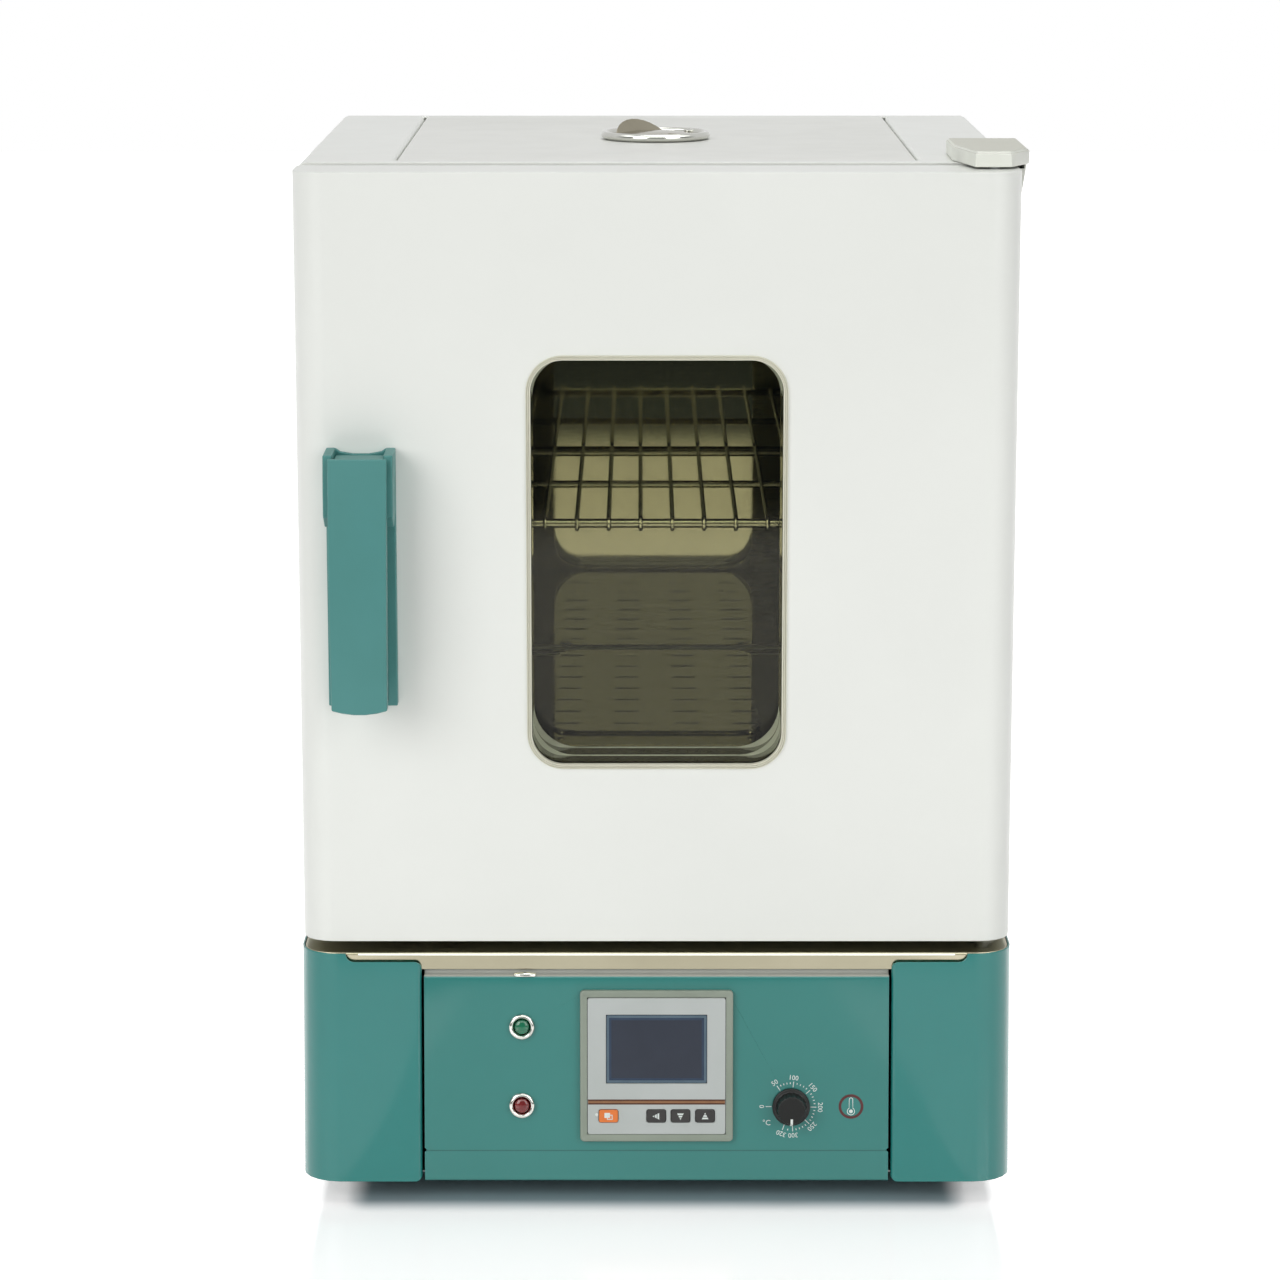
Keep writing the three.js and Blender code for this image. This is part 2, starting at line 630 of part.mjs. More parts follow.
// The disc is crowned: its height above its edge at a distance from the middle.
const crownAt = r => vent.crown * (1 - (r / vent.disc) ** 2)

function ventDisc() {
  const radii = Array.from({ length: vent.discSteps + 1 }, (_, i) => vent.disc * (1 - i / vent.discSteps))
  const disc = turned([
    ...radii.map(r => [r, vent.discThick + crownAt(r)]), ...radii.reverse().map(r => [r, crownAt(r)])
  ])
  const hole = turnFlap(extrude(segmentOutline(vent.flapRadius, vent.flapChord), 'z', -overrun, overrun * 2))
  const flapPlan = segmentOutline(vent.flapRadius - fit, vent.flapChord - vent.discThick / 2)
  const flap = extrude(flapPlan, 'z', 0, vent.discThick)
  flap.translate(-vent.flapChord, 0, 0)
  flap.rotateY(-THREE.MathUtils.degToRad(vent.flapLift))
  flap.translate(vent.flapChord, 0, crownAt(vent.flapChord))
  const eye = extrude(centred(vent.eyeLength, vent.eyeWidth, vent.eyeWidth / 2 - fit / 2, vent.eyeX, vent.eyeY),
    'z', -overrun, overrun * 2)
  const screwHole = rod(ventScrew.shank + fit, 'z', -overrun, overrun * 2, ventScrew.x, ventScrew.y)
  return join(cut(disc, hole, eye, screwHole), turnFlap(flap))
}

function ventScrewPiece() {
  const floor = crownAt(Math.hypot(ventScrew.x, ventScrew.y)) + vent.discThick + ventScrew.seat
  const head = turned([
    [0, fit], [ventScrew.shank, fit], [ventScrew.shank, floor], [ventScrew.head, floor],
    [ventScrew.head, floor + ventScrew.headHeight / 2], [ventScrew.head / 2, floor + ventScrew.headHeight],
    [0, floor + ventScrew.headHeight]
  ], smallCircleSteps)
  const bottom = floor + ventScrew.headHeight - ventScrew.slotDepth
  const bar = centred(ventScrew.head * 2, ventScrew.slot)
  const cross = [bar, centred(ventScrew.slot, ventScrew.head * 2)]
  return cut(head, cross.map(outline => extrude(outline, 'z', bottom, bottom + overrun)))
}

// Hinge

function hingePlate(back, bottom) {
  const nose = hinge.plateWidth / 2
  const outline = outlineOf([
    ...arc(hingeX, hinge.back, hinge.noseRadius, 200, 340), [hingeX + nose, hinge.back + nose],
    [hingeX + nose, back], [hingeX - nose, back], [hingeX - nose, hinge.back + nose]
  ])
  return extrude(outline, 'z', bottom, bottom + hinge.plate)
}

// Upper bracket: a plate over the door with the pin below it and a leg down the body's side.
// Z runs from the body top.
function hingeBracketUpper() {
  const pin = rod(hinge.pin, 'z', -topStep - hinge.reach, fit + hinge.plate, hingeX, hinge.back)
  const inner = halfBody + fit
  const outer = inner + hinge.plate
  const leg = outlineOf([
    [hingeX, fit], [inner, fit], [inner, -hinge.legDrop], [outer, -hinge.legDrop], [outer, fit + hinge.plate],
    [hingeX, fit + hinge.plate]
  ])
  return join(hingePlate(hinge.tailUpper, fit), pin, extrude(leg, 'y', hinge.legFront, hinge.tailUpper))
}

// Lower bracket: a plate on the apron with its pin up into the door. Z runs from the base top.
function hingeBracketLower() {
  const pin = rod(hinge.pin, 'z', fit, doorClearance + hinge.reach, hingeX, hinge.back)
  return join(hingePlate(hinge.tailLower, fit), pin)
}

// The moulded cap over the upper bracket, with a flap down the body's side.
function hingeCover() {
  const right = halfBody + cap.overhang
  const left = hingeX - cap.left
  const front = hinge.back - cap.nose
  const back = hinge.back + cap.back
  const plan = inset => outlineOf([
    [hingeX - cap.noseLeft + inset / 2, front + inset], [hingeX + cap.noseRight - inset / 2, front + inset],
    [right - inset, hinge.back + cap.shoulderRight + inset / 2], [right - inset, back - inset],
    [left + inset, back - inset], [left + inset, hinge.back + cap.shoulderLeft + inset / 2]
  ])
  const flap = inset => outlineOf([
    [halfBody + fit, -cap.flapDrop + inset], [right - cap.flapTaper - inset, -cap.flapDrop + inset],
    [right - inset, -cap.edge], [right - inset, cap.height / 2], [halfBody + fit, cap.height / 2]
  ])
  const top = cap.height - cap.edge
  const shellOf = inset => [
    extrude(plan(inset), 'z', inset > 0 ? -overrun : fit, top - inset),
    extrude(flap(inset), 'y', cap.flapFront + inset, back - inset)
  ]
  const crown = extrude(plan(cap.edge), 'z', top, cap.height)
  const under = box(left - overrun, halfBody + fit, front - overrun, back + overrun, -cap.flapDrop, fit)
  return cut(join(shellOf(0), crown), shellOf(cap.wall), under)
}

// Door, placed from the middle of its front face's lower edge

const windowUp = doorHeight / 2
const windowRun = (grow, from, to) => extrude(centred(windowWidth + grow * 2, windowHeight + grow * 2,
  windowCorner + grow, 0, windowUp), 'y', from, to, wideCornerSegments)
const linerFront = doorThick - sheet
const shellDepth = linerFront - fit

function doorPlan(inset, back) {
  const half = halfBody - inset
  const radius = doorCorner - inset
  return outlineOf([
    ...arc(-half + radius, inset + radius, radius, 180, 270),
    ...arc(half - radius, inset + radius, radius, 270, 360),
    [half, back], [-half, back]
  ])
}

const hookSlot = (from, to, low, high = hook.slotHigh) => {
  const middle = grip.bottom + pivot.z
  const side = hook.thick / 2 + hook.slotSide
  return box(gripX - side, gripX + side, from, to, middle - low, middle + high)
}

const pinHoles = clearance => {
  const radius = hinge.pin + clearance
  return [
    rod(radius, 'z', -overrun, hinge.reach + overrun, hingeX, hinge.back),
    rod(radius, 'z', doorHeight - hinge.reach - overrun, doorHeight + overrun, hingeX, hinge.back)
  ]
}

function doorShell() {
  return cut(
    extrude(doorPlan(0, shellDepth), 'z', 0, doorHeight),
    extrude(doorPlan(sheet, shellDepth - sheet), 'z', sheet, doorHeight - sheet),
    box(-halfBody + doorReturn, halfBody - doorReturn, doorThick / 2, doorThick, doorReturn, doorHeight - doorReturn),
    windowRun(-trim.cover + trim.neck, -overrun, sheet + overrun),
    hookSlot(-overrun, sheet + overrun, hook.frontLow),
    pinHoles(hinge.running)
  )
}

function doorLiner() {
  const half = halfBody - fit
  const raised = grow => {
    const inset = panelRise.inset - grow
    return centred(chamberWidth - inset * 2, chamberHeight - inset * 2, panelRise.corner + grow, 0, windowUp)
  }
  return cut(
    join(
      extrude(rect(-half, half, fit, doorHeight - fit, bodyBend), 'y', linerFront, doorThick),
      extrude(raised(0), 'y', linerFront, doorThick + panelRise.rise)
    ),
    extrude(raised(-sheet), 'y', linerFront - overrun, doorThick + panelRise.rise - sheet),
    windowRun(-trim.cover, linerFront - overrun, doorThick + overrun * 2),
    hookSlot(linerFront - overrun, doorThick + overrun, hook.slotLow)
  )
}

const outerGlassFront = sheet + trim.neck + fit
const innerGlassFront = linerFront - fit - glass.thick

function doorInsulation() {
  return cut(
    extrude(doorPlan(sheet + fit, shellDepth - sheet - fit), 'z', sheet + fit, doorHeight - sheet - fit),
    windowRun(glass.lap + fit, -overrun, doorThick + overrun),
    hookSlot(-overrun, doorThick + overrun, hook.slotLow, hook.slotHigh + fit),
    pinHoles(hinge.running + fit)
  )
}

function windowTrim() {
  const ring = (grow, from, to) => cut(windowRun(grow, from, to), windowRun(-trim.cover, -overrun, overrun * 2))
  const front = ring(0, -trim.proud, -fit)
  const neck = ring(-trim.cover + trim.neck - fit, -trim.proud, sheet + trim.neck)
  const groove = cut(
    windowRun(-trim.lip / 2, -trim.proud - overrun, -trim.proud + trim.grooveDepth),
    windowRun(-trim.lip / 2 - trim.groove, -trim.proud - overrun * 2, overrun)
  )
  return cut(join(front, neck), groove)
}

const pane = front => windowRun(glass.lap, front, front + glass.thick)

function windowSleeve() {
  const from = outerGlassFront + glass.thick + fit
  const to = innerGlassFront - fit
  return cut(
    windowRun(-trim.cover + thinSheet, from, to),
    windowRun(-trim.cover, from - overrun, to + overrun)
  )
}

// The seal round the chamber mouth, with rounded faces.
function doorGasket() {
  const side = chamberWidth / 2 + gasket.margin - gasket.round
  const rise = chamberHeight / 2 + gasket.margin - gasket.round
  const width = gasket.width - gasket.round * 2
  const outline = rect(-side, side, -rise, rise, gasket.corner)
  outline.holes.push(rect(-side + width, side - width, -rise + width, rise - width, gasket.corner - width))
  const deep = sealGap - fit * 2
  const ring = new THREE.ExtrudeGeometry(outline, {
    depth: deep - gasket.round * 2, bevelThickness: gasket.round, bevelSize: gasket.round, bevelSegments: 1,
    curveSegments: wideCornerSegments
  })
  return ring.rotateX(Math.PI / 2).translate(0, doorThick + fit + deep - gasket.round, windowUp)
}

// Handle, placed from the lower end of its plate on the door's front face

function handleBase() {
  const half = grip.width / 2
  const dip = arc(0, 0, half - grip.cheek, 0, 180).map(([x, z]) => [x, grip.height - z * grip.dipShare])
  const outline = outlineOf([[-half, 0], [half, 0], [half, grip.height], ...dip, [-half, grip.height]])
  const plate = extrude(outline, 'y', -grip.plate, -fit)
  const cheek = outlineOf([
    [-fit, 0], [-grip.rim, 0], [-grip.rim, grip.cheekHeel], [-grip.cheekTipDepth, grip.cheekTip],
    [-grip.cheekDepth, grip.cheekHeel], [-grip.cheekDepth, grip.cheekFrontStart],
    [-grip.cheekTopDepth, grip.height], [-fit, grip.height]
  ])
  const cheeks = [-half, half - grip.cheek].map(x => extrude(cheek, 'x', x, x + grip.cheek))
  const foot = extrude(rect(-half, half, 0, grip.cheek / 2), 'y', -grip.rim, -fit)
  const hole = half - pivot.blind
  return cut(
    join(plate, cheeks, foot),
    rod(pivot.radius + pivot.running, 'x', -hole, hole, -pivot.y, pivot.z),
    hookSlot(-overrun * 2, overrun, hook.frontLow).translate(-gripX, 0, -grip.bottom)
  )
}

// The lever: an arched, hollow pull whose head carries it between the cheeks. Placed from its pivot.
function handleLever() {
  const at = (y, z) => [pivot.y - y, z - pivot.z]
  const curve = new THREE.QuadraticBezierCurve(
    new THREE.Vector2(...at(lever.topFront, lever.top)),
    new THREE.Vector2(...at(lever.belly, (lever.top + lever.bottom) / 2)),
    new THREE.Vector2(...at(lever.bottomFront, lever.bottom))
  )
  const front = curve.getPoints(lever.steps).map(({ x, y }) => [x, y])
  const side = outlineOf([...front, at(lever.back, lever.bottom), at(lever.back, lever.top)])
  const inner = outlineOf([
    ...front.map(([y, z]) => [y + lever.wall, z]), at(lever.back - overrun, lever.bottom - overrun),
    at(lever.back - overrun, lever.top)
  ])
  const half = lever.widthTop / 2
  const span = lever.top - lever.bottom
  const narrow = geometry => {
    const position = geometry.attributes.position
    for (let i = 0; i < position.count; i += 1) {
      const below = (lever.top - pivot.z - position.getZ(i)) / span
      position.setX(i, position.getX(i) * (1 - below * (1 - lever.widthBottom / lever.widthTop)))
    }
    return geometry
  }
  const bow = new THREE.QuadraticBezierCurve(
    new THREE.Vector2(-half, lever.bow), new THREE.Vector2(0, -lever.bow), new THREE.Vector2(half, lever.bow)
  )
  const low = lever.bottom - pivot.z
  const trimmed = outlineOf([
    ...bow.getPoints(arcSteps).map(({ x, y }) => [x, y + low]), [half, lever.top], [-half, lever.top]
  ])
  const pocketTop = lever.blockBottom - pivot.z
  const shell = cut(
    narrow(extrude(side, 'x', -half, half)),
    common(narrow(extrude(inner, 'x', -half + lever.wall, half - lever.wall)),
      box(-half, half, -lever.belly, 0, low + lever.wall + lever.bow, pocketTop))
  )
  const blockHalf = grip.width / 2 - grip.cheek - lever.sideGap
  const block = extrude(outlineOf([
    at(lever.topFront - lever.wall, lever.blockTop), at(lever.back - fit * 2, lever.blockBottom),
    at(lever.blockBack * 2, lever.blockBottom), at(lever.blockBack, lever.blockBottom + lever.blockBack),
    at(lever.blockBack, lever.blockTop)
  ]), 'x', -blockHalf, blockHalf)
  const tip = grip.width / 2 - pivot.blind - pivot.play
  const trunnions = rod(pivot.radius, 'x', -tip, tip)
  const slotSide = hook.thick / 2 + fit
  const slot = box(-slotSide, slotSide, -hook.inBlock - fit, pivot.y, -hook.low - fit, hook.high + fit)
  return cut(join(common(shell, extrude(trimmed, 'y', -lever.belly, 0)), block, trunnions), slot)
}

// The latch hook: a steel bar from the lever's head through the door, with a barb that stands up at its end.
function latchHook() {
  const end = pivot.y + hook.tip
  const side = outlineOf([
    [-hook.inBlock, -hook.low], [end, -hook.low], [end, hook.high], [end - hook.barb / 2, hook.barbRise],
    [end - hook.barb, hook.barbRise], [end - hook.barb, hook.high], [-hook.inBlock, hook.high]
  ])
  return extrude(side, 'x', -hook.thick / 2, hook.thick / 2)
}

// Base, placed from the floor of its pan

const noseAt = height => -baseNose - (baseHeight - height) * leanSlope

function leanForward(geometry) {
  const position = geometry.attributes.position
  const limit = coverBend - baseNose + fit
  for (let i = 0; i < position.count; i += 1) {
    const y = position.getY(i)
    if (y < limit) position.setY(i, y - (baseHeight - position.getZ(i)) * leanSlope)
  }
  return geometry
}

// A cover folded round its front corner. Seen from the front its inner corners are round, and a notch in its top
// edge shows the apron's lip.
function baseCover(side) {
  const corners = [
    [-halfBase, bodyFront + bodyDepth], [-halfBase, -baseNose, coverBend],
    [-coverInner, -baseNose, coverEdge], [-coverInner, -baseNose + coverFlange]
  ]
  const shell = leanForward(extrude(folded(corners, sheet, arcSteps), 'z', 0, baseHeight))
  const { round, corner } = notch
  const dip = baseHeight - notch.drop
  const above = baseHeight + overrun
  const view = outlineOf([
    [-halfBase - overrun, -overrun], [-coverInner - round, -overrun],
    ...arc(-coverInner - round, round, round, 270, 360), ...arc(-coverInner - round, dip - round, round, 0, 90),
    ...arc(-notchSide + corner, dip + corner, corner, 270, 180), [-notchSide, above], [-halfBase - overrun, above]
  ])
  const lipRoom = box(-notchSide - fit, -coverInner + overrun, -apron.front - fit, coverFlange * 2,
    baseHeight - apron.lip - fit, above)
  const whole = cut(common(shell, extrude(view, 'y', -baseNose * 4, bodyFront + bodyDepth + overrun)), lipRoom)
  return side < 0 ? whole : whole.mirror([1, 0, 0])
}

// What lies inside the covers, seen from above.
function basePlan(half, front, back) {
  const radius = apron.corner
  return outlineOf([
    ...arc(-half + radius, front + radius, radius, 180, 270),
    ...arc(half - radius, front + radius, radius, 270, 360),
    [half, back], [-half, back]
  ])
}

function basePan() {
  const back = bodyFront + bodyDepth
  const wallTop = baseHeight - thinSheet - fit
  const corners = [[-panel.panFront, 0], [back, 0, sheet * 2], [back, wallTop]]
  const half = halfBase - sheet - fit
  const rockerRim = (rocker.flange - fit) * 2
  const wallCut = (outline, from = back - sheet - overrun) => extrude(outline, 'y', from, back + overrun)
  const ventX = halfBody - louvre.inset
  const vents = slotGrid(1, louvre.baseRows, 0, louvre.pitch, louvre.length, louvre.width, ventX, inlet.up)
  const plan = extrude(basePlan(half, -panel.panFront, back + overrun), 'z', -overrun, baseHeight)
  return cut(
    common(extrude(folded(corners, sheet), 'x', -half, half), plan),
    wallCut(centred(inlet.bodyWidth + fit * 2, inlet.bodyHeight + fit * 2, 0, inletX, inlet.up)),
    wallCut(centred(rocker.width - rockerRim, rocker.height - rockerRim, 0, rockerX, rocker.up)),
    vents.map(slot => wallCut(slot))
  )
}

// The polished plate that closes the base, with a lip over the control panel.
function apronPlate() {
  const half = halfBase - sheet - fit
  const back = bodyFront + bodyDepth
  const top = baseHeight
  const plan = basePlan(half, -apron.front, back)
  const lipPath = folded([
    [-apron.front + apron.corner, top], [-apron.front, top, apron.bend], [-apron.front, top - apron.lip]
  ], thinSheet)
  const lip = extrude(lipPath, 'x', -notchSide, notchSide)
  const edge = box(-notchSide, notchSide, -apron.front - overrun, -apron.front + apron.bend * 2,
    top - thinSheet - overrun, top + overrun)
  return join(cut(extrude(plan, 'z', top - thinSheet, top), edge), lip)
}

const panelFrame = new THREE.Matrix4()
  .makeRotationX(-THREE.MathUtils.degToRad(lean))
  .setPosition(0, noseAt(controlsHeight), controlsHeight)
const onPanel = geometry => geometry.applyMatrix4(panelFrame)

function controlPanel() {
  const half = coverInner - panel.gap
  const ledge = panel.ledge
  const back = -apron.front + thinSheet + panel.behindLip
  const creaseFront = noseAt(panel.crease)
  const corners = [
    [back, ledge + panel.rise], [back, ledge, panel.bend], [noseAt(ledge), ledge, panel.bend],
    [creaseFront, panel.crease], [noseAt(0) + panel.tuck, panel.bottomGap, panel.bend],
    [-panel.panFront - fit, panel.bottomGap]
  ]
  const reliefs = [-half, half].map(x =>
    rod(panel.relief, 'y', creaseFront - overrun, creaseFront + overrun, x, panel.crease, wireSides))
  const hole = (radius, x, up) => onPanel(rod(radius, 'y', -overrun, sheet + overrun, x, up))
  const opening = controller.caseSize + controller.holeGap * 2
  return cut(
    extrude(folded(corners, sheet), 'x', -half, half),
    onPanel(extrude(centred(opening, opening), 'y', -overrun, sheet + overrun)),
    hole(lamp.neck + lamp.gap, lampX, lamp.up),
    hole(lamp.neck + lamp.gap, lampX, lamp.down),
    hole(dial.hole, dialX, dial.up),
    reliefs
  )
}

// Controls, placed on the panel's face; -Y runs out towards the user

const rounded = controller.corner
const faceFront = -controller.faceDepth - controller.faceThick
const faceSize = controller.size - controller.ring * 2

function controllerBezel() {
  const inside = faceSize + fit * 2
  const edge = controller.neck
  return cut(
    join(
      extrude(centred(controller.size, controller.size, rounded), 'y', -controller.proud + edge, -fit),
      extrude(centred(controller.size - edge * 2, controller.size - edge * 2, rounded), 'y', -controller.proud, -fit)
    ),
    extrude(centred(inside, inside, rounded / 2), 'y', -controller.proud - overrun, overrun)
  )
}

const keyWindows = (grow, from, to) => Object.values(key.x).map(x =>
  extrude(centred(key.width + grow * 2, key.height + grow * 2, key.corner + grow, x, key.up), 'y', from, to))

function screenRun(grow, from, to) {
  const { screenWidth, screenHeight, screenX, screenUp } = controller
  return extrude(centred(screenWidth + grow * 2, screenHeight + grow * 2, 0, screenX, screenUp), 'y', from, to)
}

function controllerFace() {
  return cut(
    extrude(centred(faceSize, faceSize, rounded / 2), 'y', faceFront, -controller.faceDepth),
    screenRun(fit, faceFront - overrun, overrun),
    keyWindows(key.gap, faceFront - overrun, overrun)
  )
}

function controllerCase() {
  const neckFront = -controller.faceDepth + fit
  const neckSize = faceSize - fit * 2
  return cut(
    join(
      extrude(centred(neckSize, neckSize), 'y', neckFront, fit),
      extrude(centred(controller.caseSize, controller.caseSize, rounded), 'y', 0, controller.caseDepth)
    ),
    keyWindows(key.gap, neckFront - overrun, neckFront + key.pocket)
  )
}

function displayLens() {
  return screenRun(0, faceFront + controller.screenProud, -controller.faceDepth)
}

const keyCap = () => extrude(centred(key.width, key.height, key.corner), 'y', 0, key.thick)

function lampBezel() {
  return turnedForward([
    [lamp.bore, -lamp.neckDepth], [lamp.neck, -lamp.neckDepth], [lamp.neck, fit], [lamp.radius, fit],
    ...arc(lamp.radius - lamp.proud / 2, lamp.proud - lamp.proud / 2, lamp.proud / 2, 0, 90, 3),
    [lamp.bore + lamp.proud / 2, lamp.proud], [lamp.bore, lamp.proud / 2]
  ])
}

function lampLens() {
  const radius = lamp.lens
  const start = lamp.proud - lamp.dome
  const dome = [0, 0.34, 0.64, 0.87, 1].map(share => [radius * Math.sqrt(1 - share ** 2), start + lamp.dome * share])
  return turnedForward([[0, -lamp.neckDepth / 2], [radius, -lamp.neckDepth / 2], ...dome], smallCircleSteps)
}

// The knob: a skirt under a fluted grip, with the pointer's groove across its top.
function limiterKnob() {
  const fluted = outlineOf(Array.from({ length: dial.lobes * 2 }, (_, i) => {
    const angle = Math.PI * i / dial.lobes
    const radius = dial.grip - (i % 2) * dial.lobeDepth
    return [radius * Math.cos(angle), radius * Math.sin(angle)]
  }))
  const skirt = turnedForward([
    [0, dial.stand], [dial.radius, dial.stand], [dial.radius, dial.stand + dial.skirt - dial.edge],
    [dial.radius - dial.edge, dial.stand + dial.skirt], [0, dial.stand + dial.skirt]
  ])
  const gripBody = join(
    extrude(fluted, 'y', -dial.height + dial.edge, -dial.stand - dial.skirt / 2),
    rod(dial.grip - dial.edge, 'y', -dial.height, -dial.height + dial.edge * 2)
  )
  const bore = rod(dial.shaft + dial.running, 'y', -dial.boreDepth - dial.stand, overrun)
  const pointer = box(-dial.pointer / 2, dial.pointer / 2, -dial.height - overrun, -dial.height + dial.pointerDepth,
    -dial.radius, 0)
  return cut(join(skirt, gripBody), bore, pointer)
}

function limiterBody() {
  const back = sheet + fit
  return join(
    extrude(centred(dial.bodySize, dial.bodySize, rounded), 'y', back, back + dial.bodyDepth),
    rod(dial.shaft, 'y', -dial.boreDepth, back + sheet)
  )
}

// Mains inlet, placed on the pan's back wall; +Y runs out at the back
function powerInlet() {
  const bodyBox = centred(inlet.bodyWidth, inlet.bodyHeight)
  const half = inlet.socketWidth / 2
  const rise = inlet.socketHeight / 2
  const socket = outlineOf([
    [-half, -rise], [half, -rise], [half, rise - inlet.chamfer], [half - inlet.chamfer, rise],
    [-half + inlet.chamfer, rise], [-half, rise - inlet.chamfer]
  ])
  const face = fit + inlet.plate
  const floor = face - inlet.socketDepth
  const pinTip = floor + inlet.pinLength
  const pins = [[-inlet.pinSide, inlet.pinUp], [0, inlet.earthUp], [inlet.pinSide, inlet.pinUp]]
    .map(([x, z]) => extrude(centred(inlet.pinWidth, inlet.pinHeight, 0, x, z), 'y', floor - fit, pinTip))
  const shell = cut(
    join(
      extrude(centred(inlet.plateWidth, inlet.plateHeight, inlet.plateHeight / 2 - fit), 'y', fit, face),
      extrude(bodyBox, 'y', face - inlet.bodyDepth, face)
    ),
    extrude(socket, 'y', floor, face + overrun)
  )
  return join(shell, pins)
}

function switchFrame() {
  const inner = [rocker.capWidth + rocker.gap * 2, rocker.capHeight + rocker.gap * 2]
  const neck = [rocker.width - rocker.flange * 2, rocker.height - rocker.flange * 2]
  return cut(
    join(
      extrude(centred(rocker.width, rocker.height, rocker.flange), 'y', fit, fit + rocker.flange),
      extrude(centred(...neck), 'y', -rocker.depth, fit + rocker.flange)
    ),
    extrude(centred(...inner), 'y', -rocker.depth + rocker.floor, overrun * 2)
  )
}

// The rocker: a cap with two faces that meet in a shallow valley, tilted to its off side.
function powerRocker() {
  const half = rocker.capHeight / 2 - rocker.gap
  const profile = outlineOf([
    [-rocker.capThick, 0], [-rocker.hump, -half], [rocker.hump, -half], [rocker.hump - rocker.flange / 2, 0],
    [rocker.hump, half], [-rocker.hump, half]
  ])
  return extrude(profile, 'x', -rocker.capWidth / 2, rocker.capWidth / 2)
}

function footPiece() {
  const top = footHeight - fit
  return turned([
    [foot.dishRadius, foot.dish], [foot.dishRadius, 0], [foot.tip, 0], [foot.radius, footHeight / 3],
    [foot.radius, top], [0, top], [0, foot.dish]
  ], smallCircleSteps)
}

// Assembly

const body = group([0, bodyFront, baseTop],
  piece('front_frame', frontFrame(), 'whitePaint'),
  piece('strike_plate', strikePlate(), 'zincSteel'),
  piece('side_panel_left', sidePanel(-1), 'whitePaint'),
  piece('side_panel_right', sidePanel(1), 'whitePaint'),
  piece('top_cover', topCover(), 'greyPaint'),
  piece('rear_cover', rearCover(), 'whitePaint'),
  piece('insulation_jacket', insulationJacket(), 'fibre'),
  piece('inner_chamber', innerChamber(), 'polished'),
  piece('floor_plate', slottedFloor(), 'polished'),
  piece('heater_element', heaterElement(), 'stainless'),
  piece('shelf_rack_left', shelfRack(-1), 'stainless'),
  piece('shelf_rack_right', shelfRack(1), 'stainless'),
  piece('wire_shelf', wireShelf(), 'stainless'),
  piece('temperature_probe', temperatureProbe(), 'stainless', [probe.x, chamberBack, chamberTop - probe.below]),
  group([0, vent.y, bodyHeight],
    piece('vent_duct', ventDuct(), 'stainless'),
    piece('vent_collar', ventCollar(), 'polished'),
    piece('vent_disc', ventDisc(), 'polished', [0, 0, discFloor]),
    piece('vent_screw', ventScrewPiece(), 'polished', [ventScrew.x, ventScrew.y, discFloor])
  ),
  group([0, -bodyFront, bodyHeight],
    piece('hinge_bracket_upper', hingeBracketUpper(), 'zincSteel'),
    piece('hinge_cover', hingeCover(), 'ivoryPlastic')
  ),
  piece('hinge_bracket_lower', hingeBracketLower(), 'zincSteel', [0, -bodyFront, 0])
)

const handle = group([gripX, 0, grip.bottom],
  piece('handle_base', handleBase(), 'tealPlastic'),
  group([0, -pivot.y, pivot.z],
    piece('handle_lever', handleLever(), 'tealPlastic'),
    piece('latch_hook', latchHook(), 'zincSteel')
  )
)

const door = group([0, 0, doorBottom],
  piece('door_shell', doorShell(), 'whitePaint'),
  piece('door_liner', doorLiner(), 'stainless'),
  piece('door_insulation', doorInsulation(), 'fibre'),
  piece('outer_glass', pane(outerGlassFront), 'paleGlass'),
  piece('inner_glass', pane(innerGlassFront), 'paleGlass'),
  piece('window_trim', windowTrim(), 'creamRubber'),
  piece('window_sleeve', windowSleeve(), 'polished'),
  piece('door_gasket', doorGasket(), 'whiteRubber'),
  handle
)

const keyFront = -controller.faceDepth - controller.faceThick - key.proud
const keys = Object.entries(key.x).map(([name, x]) =>
  piece(name, keyCap(), name === 'key_menu' ? 'orangeKey' : 'darkKey', [x, keyFront, key.up]))

const controls = group([0, 0, 0],
  piece('controller_case', controllerCase(), 'blackPlastic'),
  piece('controller_bezel', controllerBezel(), 'greyPlastic'),
  piece('controller_face', controllerFace(), 'palePlastic'),
  piece('display_lens', displayLens(), 'darkLens'),
  keys,
  piece('run_lamp_bezel', lampBezel(), 'polished', [lampX, 0, lamp.up]),
  piece('run_lamp_lens', lampLens(), 'greenLens', [lampX, 0, lamp.up]),
  piece('alarm_lamp_bezel', lampBezel(), 'polished', [lampX, 0, lamp.down]),
  piece('alarm_lamp_lens', lampLens(), 'redLens', [lampX, 0, lamp.down]),
  group([dialX, 0, dial.up],
    piece('limiter_body', limiterBody(), 'blackPlastic'),
    piece('limiter_knob', limiterKnob(), 'blackPlastic')
  )
)
controls.applyMatrix4(panelFrame)

const mainsRocker = piece('power_rocker', powerRocker(), 'blackPlastic', [0, 0, 0])
mainsRocker.rotation.x = THREE.MathUtils.degToRad(rocker.tilt)

const base = group([0, 0, footHeight],
  piece('base_pan', basePan(), 'zincSteel'),
  piece('base_cover_left', baseCover(-1), 'tealPaint'),
  piece('base_cover_right', baseCover(1), 'tealPaint'),
  piece('apron_plate', apronPlate(), 'stainless'),
  piece('control_panel', controlPanel(), 'tealPaint'),
  controls,
  piece('power_inlet', powerInlet(), 'blackPlastic', [inletX, bodyFront + bodyDepth, inlet.up]),
  group([rockerX, bodyFront + bodyDepth, rocker.up],
    piece('power_switch_frame', switchFrame(), 'blackPlastic'),
    mainsRocker
  )
)

